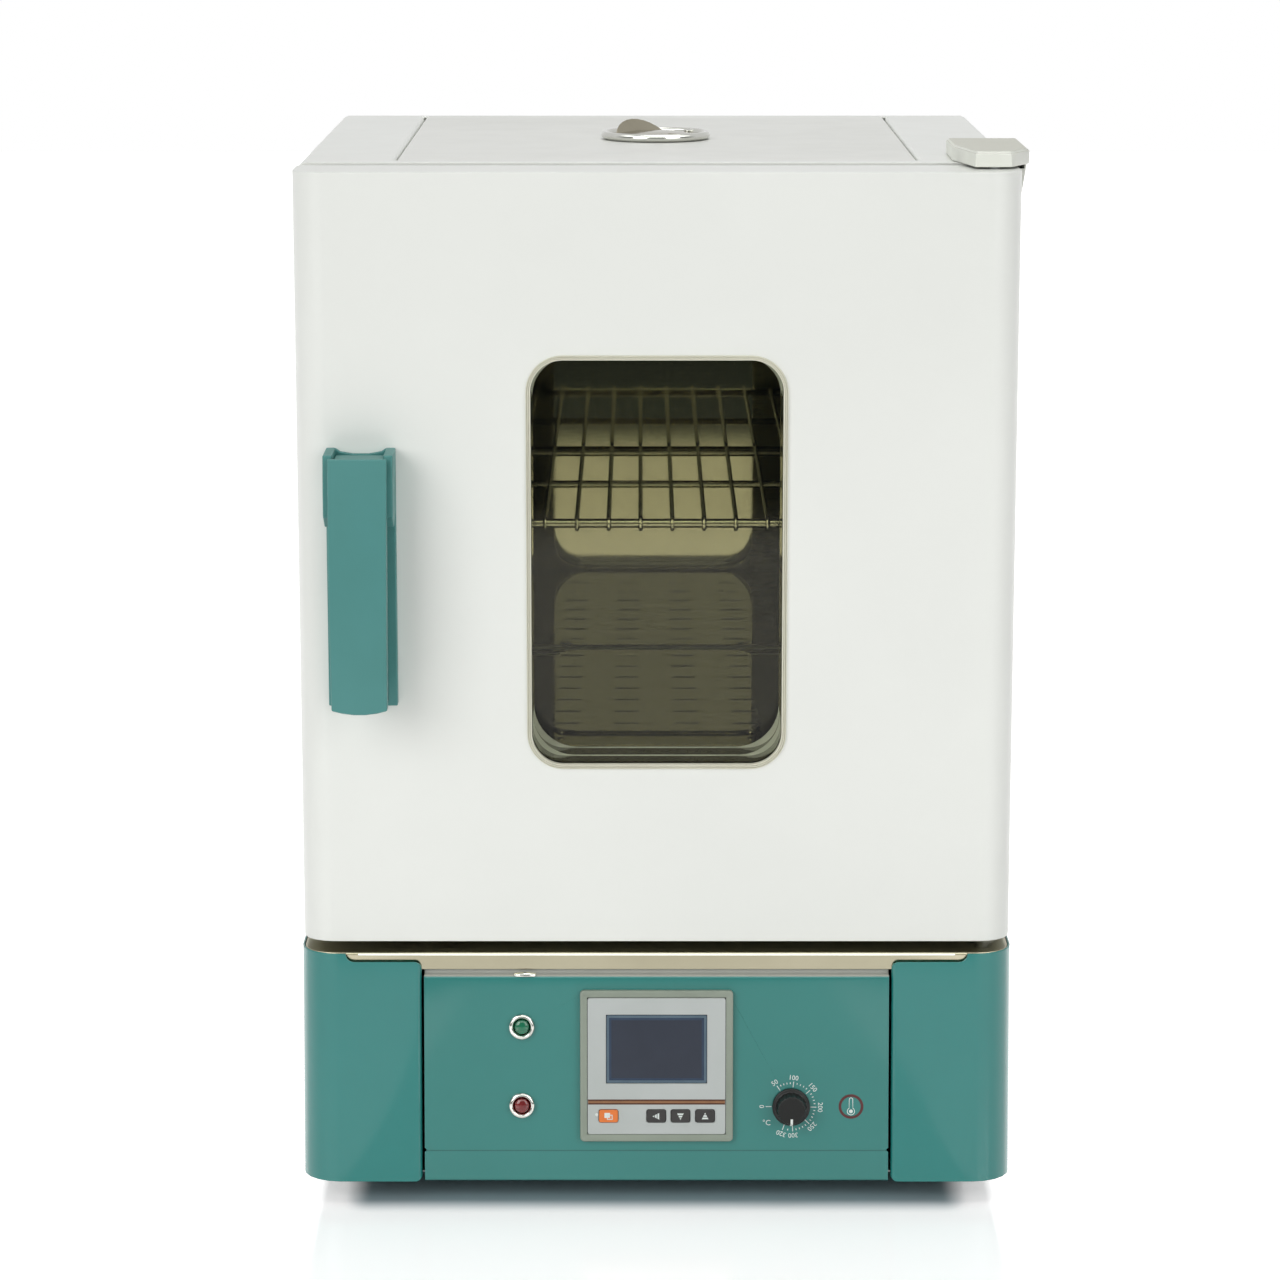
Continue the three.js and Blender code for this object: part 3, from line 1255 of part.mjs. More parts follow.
const footBack = bodyFront + bodyDepth - foot.back
const feet = [['front_left', -1, foot.front], ['front_right', 1, foot.front], ['back_left', -1, footBack],
  ['back_right', 1, footBack]].map(([place, side, y]) =>
  piece(`foot_${place}`, footPiece(), 'blackRubber', [side * (halfBody - foot.inset), y, 0]))

const oven = group([0, 0, 0], body, door, base, feet)

// The finished part stands with the middle of its footprint at the origin.
const bounds = new THREE.Box3().setFromObject(oven, true)
const middle = bounds.getCenter(new THREE.Vector3())
oven.position.set(-middle.x, -middle.y, -bounds.min.z)

export default oven
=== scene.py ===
import math
import bpy
import bmesh
import numpy as np
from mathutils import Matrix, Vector


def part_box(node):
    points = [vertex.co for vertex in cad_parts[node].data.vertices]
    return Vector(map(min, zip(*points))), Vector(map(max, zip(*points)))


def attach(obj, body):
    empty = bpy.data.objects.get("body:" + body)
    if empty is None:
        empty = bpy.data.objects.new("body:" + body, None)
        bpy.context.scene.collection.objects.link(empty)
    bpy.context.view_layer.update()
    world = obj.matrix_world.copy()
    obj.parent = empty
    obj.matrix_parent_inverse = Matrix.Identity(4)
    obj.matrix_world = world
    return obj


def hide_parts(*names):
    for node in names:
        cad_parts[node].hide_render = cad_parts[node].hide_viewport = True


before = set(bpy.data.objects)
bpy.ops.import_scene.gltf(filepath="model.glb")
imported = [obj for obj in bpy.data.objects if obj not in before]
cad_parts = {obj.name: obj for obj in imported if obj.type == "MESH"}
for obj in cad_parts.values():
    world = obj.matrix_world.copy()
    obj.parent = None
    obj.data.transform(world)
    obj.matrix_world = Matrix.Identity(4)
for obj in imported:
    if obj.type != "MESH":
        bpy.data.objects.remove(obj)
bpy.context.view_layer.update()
print("frame loaded:", len(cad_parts), "nodes")

# Every size below is in millimetres from the middle of the door's front face, at floor level:
# x to the right, y to the back, z up.
millimetre = 0.001
glassLow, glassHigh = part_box("outer_glass")
plateLow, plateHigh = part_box("floor_plate")
origin = np.array([(glassLow.x + glassHigh.x) / 2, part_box("door_shell")[0].y, 0.0])
white = (1, 1, 1, 1)


def place(points):
    # millimetres in the oven's own axes to metres in the frame
    return np.asarray(points, float) * millimetre + origin


def configure(item, **settings):
    for key, value in settings.items():
        setattr(item, key, value)
    return item


def linked(name, data):
    item = bpy.data.objects.new(name, data)
    bpy.context.scene.collection.objects.link(item)
    return item


# Shader nodes

def feed(tree, node, inputs):
    # inputs hold plain values or the sockets that feed them
    for key, value in inputs.items():
        if isinstance(value, bpy.types.NodeSocket):
            tree.links.new(value, node.inputs[key])
        else:
            node.inputs[key].default_value = value


def addNode(tree, kind, inputs=None, **settings):
    node = configure(tree.nodes.new("ShaderNode" + kind), **settings)
    feed(tree, node, inputs or {})
    return node


def calc(tree, operation, *values):
    return addNode(tree, "Math", dict(enumerate(values)), operation=operation).outputs[0]


def calcVector(tree, operation, *values):
    return addNode(tree, "VectorMath", dict(enumerate(values)), operation=operation).outputs[0]


def scaled(tree, color, share):
    return addNode(tree, "VectorMath", {0: color, "Scale": share}, operation="SCALE").outputs[0]


def fade(tree, value, between, start=0.0, end=1.0, curve="LINEAR"):
    # start below the lower of the two values, end above the higher one
    return addNode(tree, "MapRange", {
        "Value": value, "From Min": between[0], "From Max": between[1], "To Min": start, "To Max": end},
        interpolation_type=curve).outputs[0]


def blend(tree, share, first, second):
    # the Mix node's inputs 6 and 7 are its colours
    return addNode(tree, "Mix", {0: share, 6: first, 7: second}, data_type="RGBA").outputs[2]


def split(tree, vector):
    return addNode(tree, "SeparateXYZ", {0: vector}).outputs


def objectPlace(tree):
    return addNode(tree, "TexCoord").outputs["Object"]


def noise(tree, vector, scale, detail, roughness=0.5):
    return addNode(tree, "TexNoise", {
        "Vector": vector, "Scale": scale, "Detail": detail, "Roughness": roughness}).outputs["Fac"]


def mixShaders(tree, share, first, second):
    return addNode(tree, "MixShader", {"Fac": share, 1: first.outputs[0], 2: second.outputs[0]}).outputs[0]


def viewMask(tree, rays):
    # 1 for rays that show the background: camera, mirror and glass rays
    return calc(tree, "MAXIMUM", calc(tree, "MAXIMUM", rays["Is Camera Ray"], rays["Is Glossy Ray"]),
                rays["Is Transmission Ray"])


def newMaterial(name):
    material = bpy.data.materials.new(name)
    material.use_nodes = True
    tree = material.node_tree
    return material, tree, tree.nodes["Principled BSDF"], tree.nodes["Material Output"]


# Camera and studio

photoCamera = {
    "offset": (-10.5, -2530.0, 870.0),  # where the lens stands
    "pitch": 11.37,                     # degrees below the horizon
    "lens": 116.0,
    "sensor": 36.0,
    "clip": (0.05, 60.0),
}


def makeCamera(offset, pitch, lens, sensor, clip):
    data = configure(bpy.data.cameras.new("photoCamera"), lens=lens, sensor_width=sensor, clip_start=clip[0],
                     clip_end=clip[1])
    bpy.context.scene.camera = configure(linked("photoCamera", data), location=place(offset),
                                         rotation_euler=(math.radians(90 - pitch), 0, 0))


surroundings = {
    "strength": 0.44,
    "rightShare": 0.45,                   # how much of it comes from the right
    "rightFade": (-0.2, 0.8),             # between these parts of a direction to the right, and to the back
    "backFade": (-0.35, 0.1),
    "frontTone": (0.27, 0.28, 0.268, 1),  # what mirrors see behind the camera
    "backShare": 0.72,                    # how much of the white they see behind the oven
    "highBand": (0.55, 0.85, 8.0),        # a bright strip that they see high in front: sines of its height, gain
}


def makeWorld(strength, rightShare, rightFade, backFade, frontTone, backShare, highBand):
    world = bpy.data.worlds.new("studioWorld")
    world.use_nodes = True
    bpy.context.scene.world = world
    tree = world.node_tree
    direction = split(tree, addNode(tree, "TexCoord").outputs["Generated"])
    rays = addNode(tree, "LightPath").outputs
    light = tree.nodes["Background"]
    fromRight = fade(tree, direction["X"], rightFade, strength, strength * rightShare, "SMOOTHSTEP")
    feed(tree, light, {"Color": white, "Strength": fromRight})
    toBack = fade(tree, direction["Y"], backFade)
    dimmed = calc(tree, "MULTIPLY_ADD", rays["Is Glossy Ray"], backShare - 1, 1.0)
    behind = calc(tree, "MAXIMUM", calc(tree, "MULTIPLY", toBack, dimmed), rays["Is Camera Ray"])
    low, high, gain = highBand
    band = calc(tree, "COMPARE", direction["Z"], (low + high) / 2, (high - low) / 2)
    strip = calc(tree, "MULTIPLY", band, calc(tree, "SUBTRACT", 1.0, toBack))
    power = calc(tree, "MULTIPLY_ADD", calc(tree, "MULTIPLY", strip, rays["Is Glossy Ray"]), gain, 1.0)
    seen = addNode(tree, "Background", {"Color": blend(tree, behind, frontTone, white), "Strength": power})
    feed(tree, tree.nodes["World Output"], {"Surface": mixShaders(tree, viewMask(tree, rays), light, seen)})


ground = {
    "half": 8.0,
    "color": (0.89, 0.88, 0.88, 1),
    "roughness": 0.16,
    "gloss": 0.5,
    "middle": (0, 221, 0), "reach": (182, 235, 0),  # the oven's footprint
    "lift": 0.36,                       # what the open floor adds for rays that show the background
    # painted shadow: before and under the oven's footprint the glow fades out and the floor takes the painted shadow
    # tone below
    "liftFade": 0.031,                  # metres over which that fades in before the footprint
    "sideHaste": (1.5, 1, 0),
    # painted light: more glow beside the oven, which washes out its shadow on the floor there
    "paintedSideLight": 0.5,                    # and what more it adds beside the oven
    "sideReach": (0.029, 0.036),
    "awayReach": (0.35, 0.7),
    "end": (-2.85, -2.5),               # metres before the oven between which the pale floor ends in mirrors
    "farTone": (0.07, 0.085, 0.1, 1),
    # the floor's colour under the oven: painted shadow
    "paintedShadowTone": (0.38, 0.5, 0.54, 1),
}


def makeFloor(half, color, roughness, gloss, middle, reach, lift, liftFade, sideHaste, paintedSideLight, sideReach, awayReach,
              end, farTone, paintedShadowTone):
    material, tree, shader, output = newMaterial("paleFloor")
    rays = addNode(tree, "LightPath").outputs
    position = objectPlace(tree)
    # distance outside the footprint: what is left of |position - middle| - reach where it is above zero
    offset = calcVector(tree, "ABSOLUTE", calcVector(tree, "SUBTRACT", position, place(middle).tolist()))
    beyond = calcVector(tree, "SUBTRACT", offset, [value * millimetre for value in reach])
    outside = calcVector(tree, "MAXIMUM", beyond, (0, 0, 0))
    distance = addNode(tree, "VectorMath", {0: calcVector(tree, "MULTIPLY", outside, sideHaste)}, operation="LENGTH")
    # painted shadow: the glow fades out towards the footprint, where the floor turns to the painted shadow tone
    paintedShadowFade = fade(tree, distance.outputs["Value"], (0.0, liftFade), curve="SMOOTHSTEP")
    across = split(tree, outside)
    # painted light beside the oven, which washes out its shadow on the floor
    paintedLightBeside, away = [fade(tree, across[axis], between, lift, lift + paintedSideLight)
                    for axis, between in (("X", sideReach), ("Y", awayReach))]
    lifted = calc(tree, "MAXIMUM", paintedLightBeside, calc(tree, "MULTIPLY", away, rays["Is Camera Ray"]))
    near = fade(tree, split(tree, position)["Y"], end, curve="SMOOTHSTEP")
    pale = calc(tree, "MAXIMUM", near, rays["Is Camera Ray"])
    feed(tree, shader, {
        "Base Color": blend(tree, pale, farTone, blend(tree, paintedShadowFade, paintedShadowTone, color)), "Roughness": roughness,
        "Specular IOR Level": calc(tree, "MULTIPLY", pale, gloss)})
    shown = calc(tree, "MULTIPLY", viewMask(tree, rays), pale)
    glow = addNode(tree, "Emission", {
        "Strength": calc(tree, "MULTIPLY", shown, calc(tree, "MULTIPLY", paintedShadowFade, lifted))})
    add = addNode(tree, "AddShader", {0: shader.outputs[0], 1: glow.outputs[0]})
    feed(tree, output, {"Surface": add.outputs[0]})
    mesh = bpy.data.meshes.new("floor")
    mesh.from_pydata([(-half, -half, 0), (half, -half, 0), (half, half, 0), (-half, half, 0)], [], [(0, 1, 2, 3)])
    mesh.materials.append(material)
    linked("floor", mesh)


lampPlaces = {  # place, aim, side in metres, power
    "keyLamp": ((-1800, -2500, 1600), (0, 0, 350), 1.9, 42),
    "fillLamp": ((2000, -2400, 1400), (0, 0, 350), 1.9, 32),
    "topLamp": ((300, 300, 2900), (0, 200, 0), 1.6, 20),
}


def makeLamp(name, position, aim, side, power):
    data = configure(bpy.data.lights.new(name, "AREA"), shape="SQUARE", size=side, energy=power)
    lamp = configure(linked(name, data), location=place(position))
    direction = Vector(place(aim)) - lamp.location
    lamp.rotation_euler = direction.to_track_quat("-Z", "Y").to_euler()


bpy.context.scene.view_settings.view_transform = "Standard"
makeCamera(**photoCamera)
makeWorld(**surroundings)
makeFloor(**ground)
for lampName, lampSettings in lampPlaces.items():
    makeLamp(lampName, *lampSettings)
print("camera and studio ready")


# Effects that several finishes share

effects = {
    "cloud": (4.0, 0.55), "cloudFade": (0.35, 0.65),  # the noise's detail and roughness, and what is drawn from it
    "lines": (5.0, 0.7),
    "spots": (35.0, 6.0), "spotsFade": (0.4, 0.75),   # the noise's scale and detail
    "upFade": (0.55, 0.95), "dustRoughness": 0.5,
    "cutFade": (0.15, 0.35),
}


def newGroup(name, inputs, outputs):
    # a default's number of values tells the kind of its socket
    tree = bpy.data.node_groups.new(name, "ShaderNodeTree")
    kinds = {1: "NodeSocketFloat", 3: "NodeSocketVector", 4: "NodeSocketColor"}
    for label, value in inputs.items():
        tree.interface.new_socket(label, in_out="INPUT", socket_type=kinds[np.size(value)]).default_value = value
    for label in outputs:
        tree.interface.new_socket(label, in_out="OUTPUT", socket_type=kinds[4 if label == "Color" else 1])
    return tree, tree.nodes.new("NodeGroupInput").outputs, tree.nodes.new("NodeGroupOutput")


def makeSoftVariation():
    # cloudy change between two colours, with the roughness moving a little with it
    tree, given, result = newGroup("softVariation", {
        "Color": (0.8, 0.8, 0.8, 1), "Second Color": (0.7, 0.7, 0.7, 1), "Patch Scale": 4.0, "Roughness": 0.4,
        "Roughness Spread": 0.1}, ["Color", "Roughness"])
    cloud = noise(tree, objectPlace(tree), given["Patch Scale"], *effects["cloud"])
    share = fade(tree, cloud, effects["cloudFade"])
    centred = calc(tree, "SUBTRACT", share, 0.5)
    feed(tree, result, {
        "Color": blend(tree, share, given["Color"], given["Second Color"]),
        "Roughness": calc(tree, "MULTIPLY_ADD", centred, given["Roughness Spread"], given["Roughness"])})
    return tree


def makeFineGrain():
    # small even noise for a bump; the stretch draws it out into fibres
    tree, given, result = newGroup("fineGrain", {"Scale": 500.0, "Stretch": (1, 1, 1), "Detail": 2.0}, ["Height"])
    stretched = calcVector(tree, "MULTIPLY", objectPlace(tree), given["Stretch"])
    feed(tree, result, {"Height": noise(tree, stretched, given["Scale"], given["Detail"])})
    return tree


def makeBrushedLines():
    # fine lines drawn along one direction, as a lighter and darker tone and as roughness
    tree, given, result = newGroup("brushedLines", {
        "Color": (0.7, 0.7, 0.7, 1), "Depth": 0.1, "Scale": 60.0, "Stretch": (1, 30, 30), "Roughness": 0.3,
        "Roughness Spread": 0.1}, ["Color", "Roughness", "Height"])
    stretched = calcVector(tree, "MULTIPLY", objectPlace(tree), given["Stretch"])
    height = noise(tree, stretched, given["Scale"], *effects["lines"])
    centred = calc(tree, "SUBTRACT", height, 0.5)
    feed(tree, result, {
        "Color": scaled(tree, given["Color"], calc(tree, "MULTIPLY_ADD", centred, given["Depth"], 1.0)),
        "Roughness": calc(tree, "MULTIPLY_ADD", centred, given["Roughness Spread"], given["Roughness"]),
        "Height": height})
    return tree


def makeDustAndTopShadeFilm():
    # a film on faces that look up, broken by a cloudy pattern: settled dust; where Even Part is 1 it covers them
    # evenly as painted shade on a thing's top
    tree, given, result = newGroup("dustAndTopShadeFilm", {
        "Color": (0.8, 0.8, 0.8, 1), "Dust And Shade Color": (0.6, 0.58, 0.54, 1), "Amount": 0.1, "Even Part": 0.0,
        "Roughness": 0.4}, ["Color", "Roughness"])
    facing = fade(tree, split(tree, addNode(tree, "NewGeometry").outputs["Normal"])["Z"], effects["upFade"])
    spots = fade(tree, noise(tree, objectPlace(tree), *effects["spots"]), effects["spotsFade"])
    film = calc(tree, "MULTIPLY", facing, calc(tree, "MAXIMUM", spots, given["Even Part"]))
    mask = calc(tree, "MULTIPLY", film, given["Amount"])
    feed(tree, result, {
        "Color": blend(tree, mask, given["Color"], given["Dust And Shade Color"]),
        "Roughness": calc(tree, "MULTIPLY_ADD", mask, effects["dustRoughness"], given["Roughness"])})
    return tree


softVariation = makeSoftVariation()
fineGrain = makeFineGrain()
brushedLines = makeBrushedLines()
dustAndTopShadeFilm = makeDustAndTopShadeFilm()


# Finishes

def addGroup(tree, group, inputs):
    return addNode(tree, "Group", inputs, node_tree=group).outputs


def rgb(red, green, blue):
    # 0 to 255 as picked on a screen, to the plain light values that shaders take
    part = np.array([red, green, blue]) / 255
    plain = np.where(part <= 0.04045, part / 12.92, ((part + 0.055) / 1.055) ** 2.4)
    return (*plain.tolist(), 1.0)


def cloudyTone(tree, look):
    return addGroup(tree, softVariation, {
        "Color": rgb(*look["color"]), "Second Color": rgb(*look["second"]), "Patch Scale": look["patch"],
        "Roughness": look["roughness"], "Roughness Spread": look["spread"]})


def bumped(tree, height, distance):
    return addNode(tree, "Bump", {"Height": height, "Distance": distance * millimetre, "Strength": 1.0}).outputs[0]


def paintedLedgeSheenAndCreaseShade(tree, color, ledge, crease):
    # painted sheen: a paler tone above a height, on the ledge, for the bright strip above that it reflects; painted
    # shade: a darker line along the fold
    height = split(tree, objectPlace(tree))["Z"]
    low, high, tone = ledge
    pale = blend(tree, fade(tree, height, (low * millimetre, high * millimetre)), color, rgb(*tone))
    middle, half, share = crease
    paintedCreaseMask = calc(tree, "COMPARE", height, middle * millimetre, half * millimetre)
    return scaled(tree, pale, calc(tree, "MULTIPLY_ADD", paintedCreaseMask, share - 1, 1.0))


def paintSlotShade(tree, color, share, end):
    # painted shade: upright faces, the walls of the slots, are darkened, as far as the plate's bright rear edge
    up = split(tree, addNode(tree, "NewGeometry").outputs["True Normal"])["Z"]
    paintedShadeShare = fade(tree, calc(tree, "ABSOLUTE", up), effects["cutFade"], share)
    rear = calc(tree, "GREATER_THAN", split(tree, objectPlace(tree))["Y"], end)
    return scaled(tree, color, calc(tree, "MAXIMUM", paintedShadeShare, rear))


def paintedOrMoulded(name, look):
    # paint, plastic or rubber: cloudy colour, a fine grain and a little dust; on the hinge cover the same film is
    # painted shade on its top, and the panel gets a painted sheen and a painted crease shade
    material, tree, shader, _ = newMaterial(name)
    tone = cloudyTone(tree, look)
    # settled dust, and on the hinge cover an even painted shade on its top
    dusty = addGroup(tree, dustAndTopShadeFilm, {
        "Color": tone["Color"], "Dust And Shade Color": rgb(*look["dustColor"]), "Amount": look["dust"],
        "Even Part": look["even"], "Roughness": tone["Roughness"]})
    color = dusty["Color"]
    # painted sheen on the panel's ledge and painted shade along its fold
    if "ledge" in look:
        color = paintedLedgeSheenAndCreaseShade(tree, color, look["ledge"], look["crease"])
    grain = addGroup(tree, fineGrain, {"Scale": look["grain"], "Stretch": look["stretch"], "Detail": look["detail"]})
    feed(tree, shader, {
        "Base Color": color, "Roughness": dusty["Roughness"], "Normal": bumped(tree, grain["Height"], look["bump"]),
        "Coat Weight": look["coat"], "Coat Roughness": look["coatRoughness"], "Specular IOR Level": look["specular"]})
    return material


def bareMetal(name, look):
    # metal with brushed or rolled lines and cloudy roughness
    material, tree, shader, _ = newMaterial(name)
    tone = cloudyTone(tree, look)
    lines = addGroup(tree, brushedLines, {
        "Color": tone["Color"], "Depth": look["depth"], "Scale": look["lines"], "Stretch": look["stretch"],
        "Roughness": tone["Roughness"], "Roughness Spread": look["lineSpread"]})
    color = lines["Color"]
    # painted shade in the floor plate's slots
    if "slotPaintedShade" in look:
        color = paintSlotShade(tree, color, look["slotPaintedShade"], look["slotPaintedShadeEnd"])
    feed(tree, shader, {"Metallic": 1.0, "Base Color": color, "Roughness": lines["Roughness"],
                        "Normal": bumped(tree, lines["Height"], look["bump"])})
    return material


def windowPane(name, look):
    # clear glass that lets lamps light what is behind it
    material, tree, shader, output = newMaterial(name)
    feed(tree, shader, {"Transmission Weight": 1.0, "IOR": look["ior"], "Specular IOR Level": look["specular"],
                        "Base Color": cloudyTone(tree, look)["Color"], "Roughness": look["roughness"]})
    clear = addNode(tree, "BsdfTransparent", {"Color": rgb(*look["color"])})
    shadow = addNode(tree, "LightPath").outputs["Is Shadow Ray"]
    feed(tree, output, {"Surface": mixShaders(tree, shadow, shader, clear)})
    return material


def table(columns, rows, **common):
    # each row's values by the name of their column, with the row's own extras after them
    return {name: {**common, **dict(zip(columns, row)), **more} for name, (*row, more) in rows.items()}


paints = table(("color", "second", "patch", "roughness", "spread", "grain", "bump"), {
    "whitePaint": ((235, 237, 232), (230, 232, 227), 3, 0.3, 0.05, 420, 0.012, {"dust": 0.04, "coat": 0.15}),
    # painted shade: the white paint made greyer for the top cover, which gets less light
    "topPaint": ((229, 230, 225), (224, 225, 220), 4, 0.36, 0.06, 420, 0.012, {"dust": 0.06}),
    "tealPaint": ((40, 129, 124), (37, 125, 120), 5, 0.3, 0.05, 380, 0.006,
                  {"dust": 0.02, "coat": 1.0, "coatRoughness": 0.06, "specular": 0.05}),
    "tealPlastic": ((70, 134, 131), (66, 129, 125), 12, 0.42, 0.08, 1600, 0.01, {"dust": 0.04}),
    # painted shade: its film, darker than the plastic and even over every face that looks up, darkens the hinge
    # cover's top
    "ivoryPlastic": ((233, 235, 227), (227, 229, 220), 30, 0.45, 0.08, 1500, 0.01,
                     {"dust": 0.9, "even": 1.0, "dustColor": (204, 204, 194)}),
    "greyPlastic": ((141, 150, 137), (134, 143, 130), 25, 0.5, 0.08, 1800, 0.012, {}),
    "palePlastic": ((184, 189, 187), (178, 184, 181), 18, 0.42, 0.06, 2200, 0.006, {}),
    "blackPlastic": ((36, 38, 37), (29, 31, 30), 30, 0.4, 0.1, 1500, 0.015, {"dust": 0.03}),
    "knobPlastic": ((22, 23, 22), (17, 18, 17), 30, 0.42, 0.1, 1500, 0.015, {"dust": 0.02, "specular": 0.35}),
    "creamRubber": ((224, 223, 206), (216, 214, 197), 14, 0.5, 0.1, 1200, 0.012, {}),
    "whiteSilicone": ((228, 226, 218), (219, 216, 206), 12, 0.55, 0.1, 1000, 0.015, {}),
    "blackRubber": ((31, 31, 30), (24, 24, 24), 40, 0.8, 0.12, 1300, 0.03, {"dust": 0.08}),
    "glassWool": ((219, 207, 160), (198, 182, 130), 22, 0.95, 0.05, 180, 0.5,
                  {"stretch": (1, 5, 5), "detail": 6.0}),
    "darkLens": ((40, 48, 63), (36, 43, 57), 20, 0.2, 0.04, 900, 0.003, {"coat": 0.1, "coatRoughness": 0.08}),
    "orangeKey": ((226, 122, 56), (216, 112, 48), 60, 0.5, 0.08, 2000, 0.015, {}),
    "darkKey": ((50, 48, 47), (42, 40, 39), 60, 0.5, 0.08, 2000, 0.015, {}),
    "greenLens": ((2, 112, 78), (0, 92, 62), 90, 0.15, 0.05, 700, 0.05, {"coat": 0.6, "coatRoughness": 0.03}),
    "redLens": ((128, 24, 26), (104, 14, 18), 90, 0.15, 0.05, 700, 0.05, {"coat": 0.6, "coatRoughness": 0.03}),
    "whiteInk": ((226, 232, 228), (212, 220, 216), 120, 0.5, 0.08, 2500, 0.004, {}),
    "brownInk": ((84, 47, 26), (76, 41, 22), 90, 0.45, 0.06, 2500, 0.003, {}),
    "tanInk": ((152, 108, 72), (142, 100, 66), 90, 0.45, 0.06, 2500, 0.003, {}),
    "redInk": ((84, 38, 38), (76, 32, 32), 90, 0.45, 0.06, 2500, 0.003, {}),
    "screenEdge": ((84, 104, 118), (76, 96, 110), 60, 0.3, 0.05, 1500, 0.003, {}),
    "screenShade": ((42, 60, 82), (38, 54, 76), 60, 0.22, 0.05, 1500, 0.003, {}),
}, dust=0.0, even=0.0, dustColor=(150, 148, 140), stretch=(1, 1, 1), detail=2.0, coat=0.0, coatRoughness=0.1,
    specular=0.5)
metals = table((
    "color", "second", "patch", "roughness", "spread", "depth", "lines", "stretch", "lineSpread", "bump"), {
    "stainless": ((196, 192, 180), (184, 180, 168), 9, 0.27, 0.08, 0.12, 60, (1, 30, 30), 0.12, 0.004, {}),
    "polished": ((176, 177, 168), (166, 167, 158), 7, 0.07, 0.05, 0.08, 40, (1, 1, 25), 0.06, 0.0015, {}),
    "chamberSteel": ((204, 201, 187), (197, 194, 180), 5, 0.035, 0.02, 0.06, 40, (1, 1, 25), 0.02, 0.0003, {}),
    "apronSteel": ((188, 182, 158), (180, 174, 150), 9, 0.16, 0.05, 0.1, 60, (1, 30, 30), 0.08, 0.002, {}),
    "shelfWire": ((198, 196, 186), (184, 182, 172), 30, 0.2, 0.08, 0.1, 200, (1, 4, 4), 0.1, 0.002, {}),
    "brightChrome": ((214, 214, 208), (204, 204, 198), 40, 0.1, 0.05, 0.06, 300, (1, 1, 6), 0.05, 0.001, {}),
    # painted shade: a darker, warmer copy of the bright chrome for the vent's disc, standing in for the dark room
    # that it reflects
    "ventSteel": ((164, 158, 141), (154, 148, 131), 40, 0.14, 0.05, 0.08, 300, (1, 1, 6), 0.05, 0.001, {}),
    "zincSteel": ((172, 174, 173), (160, 163, 162), 60, 0.4, 0.12, 0.15, 120, (1, 1, 1), 0.1, 0.01, {}),
    "heaterTube": ((128, 118, 104), (104, 92, 80), 25, 0.42, 0.1, 0.1, 250, (1, 1, 1), 0.1, 0.01, {}),
})
panes = {"windowGlass": {"color": (235, 234, 220), "second": (232, 231, 217), "patch": 3, "roughness": 0.0,
                         "spread": 0.0, "ior": 1.26, "specular": 0.5}}
# the panel's paint, with a painted sheen on its ledge and a painted shade line along its fold
paints["panelPaint"] = {**paints["tealPaint"], "color": (54, 130, 124), "second": (51, 126, 120),
                        "ledge": (145.3, 145.8, (186, 188, 180)), "crease": (34.2, 0.4, 0.62)}
# painted shade: a darker copy of the polished steel for the window's sleeve, standing in for the dark room that it
# reflects
metals["sleeveSteel"] = {**metals["polished"], "color": (122, 122, 110), "second": (114, 114, 102)}
# the floor plate's steel, with painted shade on the walls of its slots
metals["plateSteel"] = {**metals["chamberSteel"], "slotPaintedShade": 0.06, "slotPaintedShadeEnd": plateHigh.y - 0.006}
finish = {name: make(name, look) for make, looks in (
    (paintedOrMoulded, paints), (bareMetal, metals), (windowPane, panes)) for name, look in looks.items()}

# looks that share a slot with another; the others' slots have their own names
sharedSlots = {look: slot for slot, looks in {
    "grey_paint": ["topPaint"], "teal_paint": ["panelPaint", "redInk"], "black_plastic": ["knobPlastic"],
    "polished": ["chamberSteel", "plateSteel", "sleeveSteel"], "bright_chrome": ["ventSteel"],
    "stainless": ["apronSteel", "shelfWire", "heaterTube"], "pale_plastic": ["whiteInk", "brownInk", "tanInk"],
    "dark_lens": ["screenEdge", "screenShade"]}.items() for look in looks}


def slotOf(look):
    return sharedSlots.get(look, "".join("_" + letter.lower() if letter.isupper() else letter for letter in look))


print("finishes ready:", len(finish))


# Shapes: arrays of points with the faces between them, all closed and facing outwards

def facingOut(points, faces):
    # fans from each face's first corner give the signed volume; where it is negative every face is turned
    fans = np.array([(face[0], face[k], face[k + 1]) for face in faces for k in range(1, len(face) - 1)])
    a, b, c = points[fans[:, 0]], points[fans[:, 1]], points[fans[:, 2]]
    if np.einsum("ij,ij->", a - points[0], np.cross(b - points[0], c - points[0])) < 0:
        return [face[::-1] for face in faces]
    return faces


def loft(rings, wrap=False):
    # rings of points joined in order; the last joins the first where they wrap, else each end is one flat face
    rings = np.asarray(rings, float)
    rows, columns = rings.shape[:2]
    r, c = np.arange(rows if wrap else rows - 1)[:, None], np.arange(columns)[None, :]
    rUp, cUp = (r + 1) % rows, (c + 1) % columns
    quads = np.broadcast_arrays(r * columns + c, r * columns + cUp, rUp * columns + cUp, rUp * columns + c)
    faces = np.stack(quads, axis=-1).reshape(-1, 4).tolist()
    if not wrap:
        faces += [list(range(columns))[::-1], list(range((rows - 1) * columns, rows * columns))]
    points = rings.reshape(-1, 3)
    return points, facingOut(points, faces)


def joined(*shapes):
    points, faces, start = [], [], 0
    for part, partFaces in shapes:
        points.append(part)
        faces += [[i + start for i in face] for face in partFaces]
        start += len(part)
    return np.concatenate(points), faces


def shifted(shape, offset):
    return shape[0] + np.asarray(offset, float), shape[1]


def arc(radius, angles, middle=(0, 0)):
    return np.column_stack([middle[0] + radius * np.cos(angles), middle[1] + radius * np.sin(angles)])


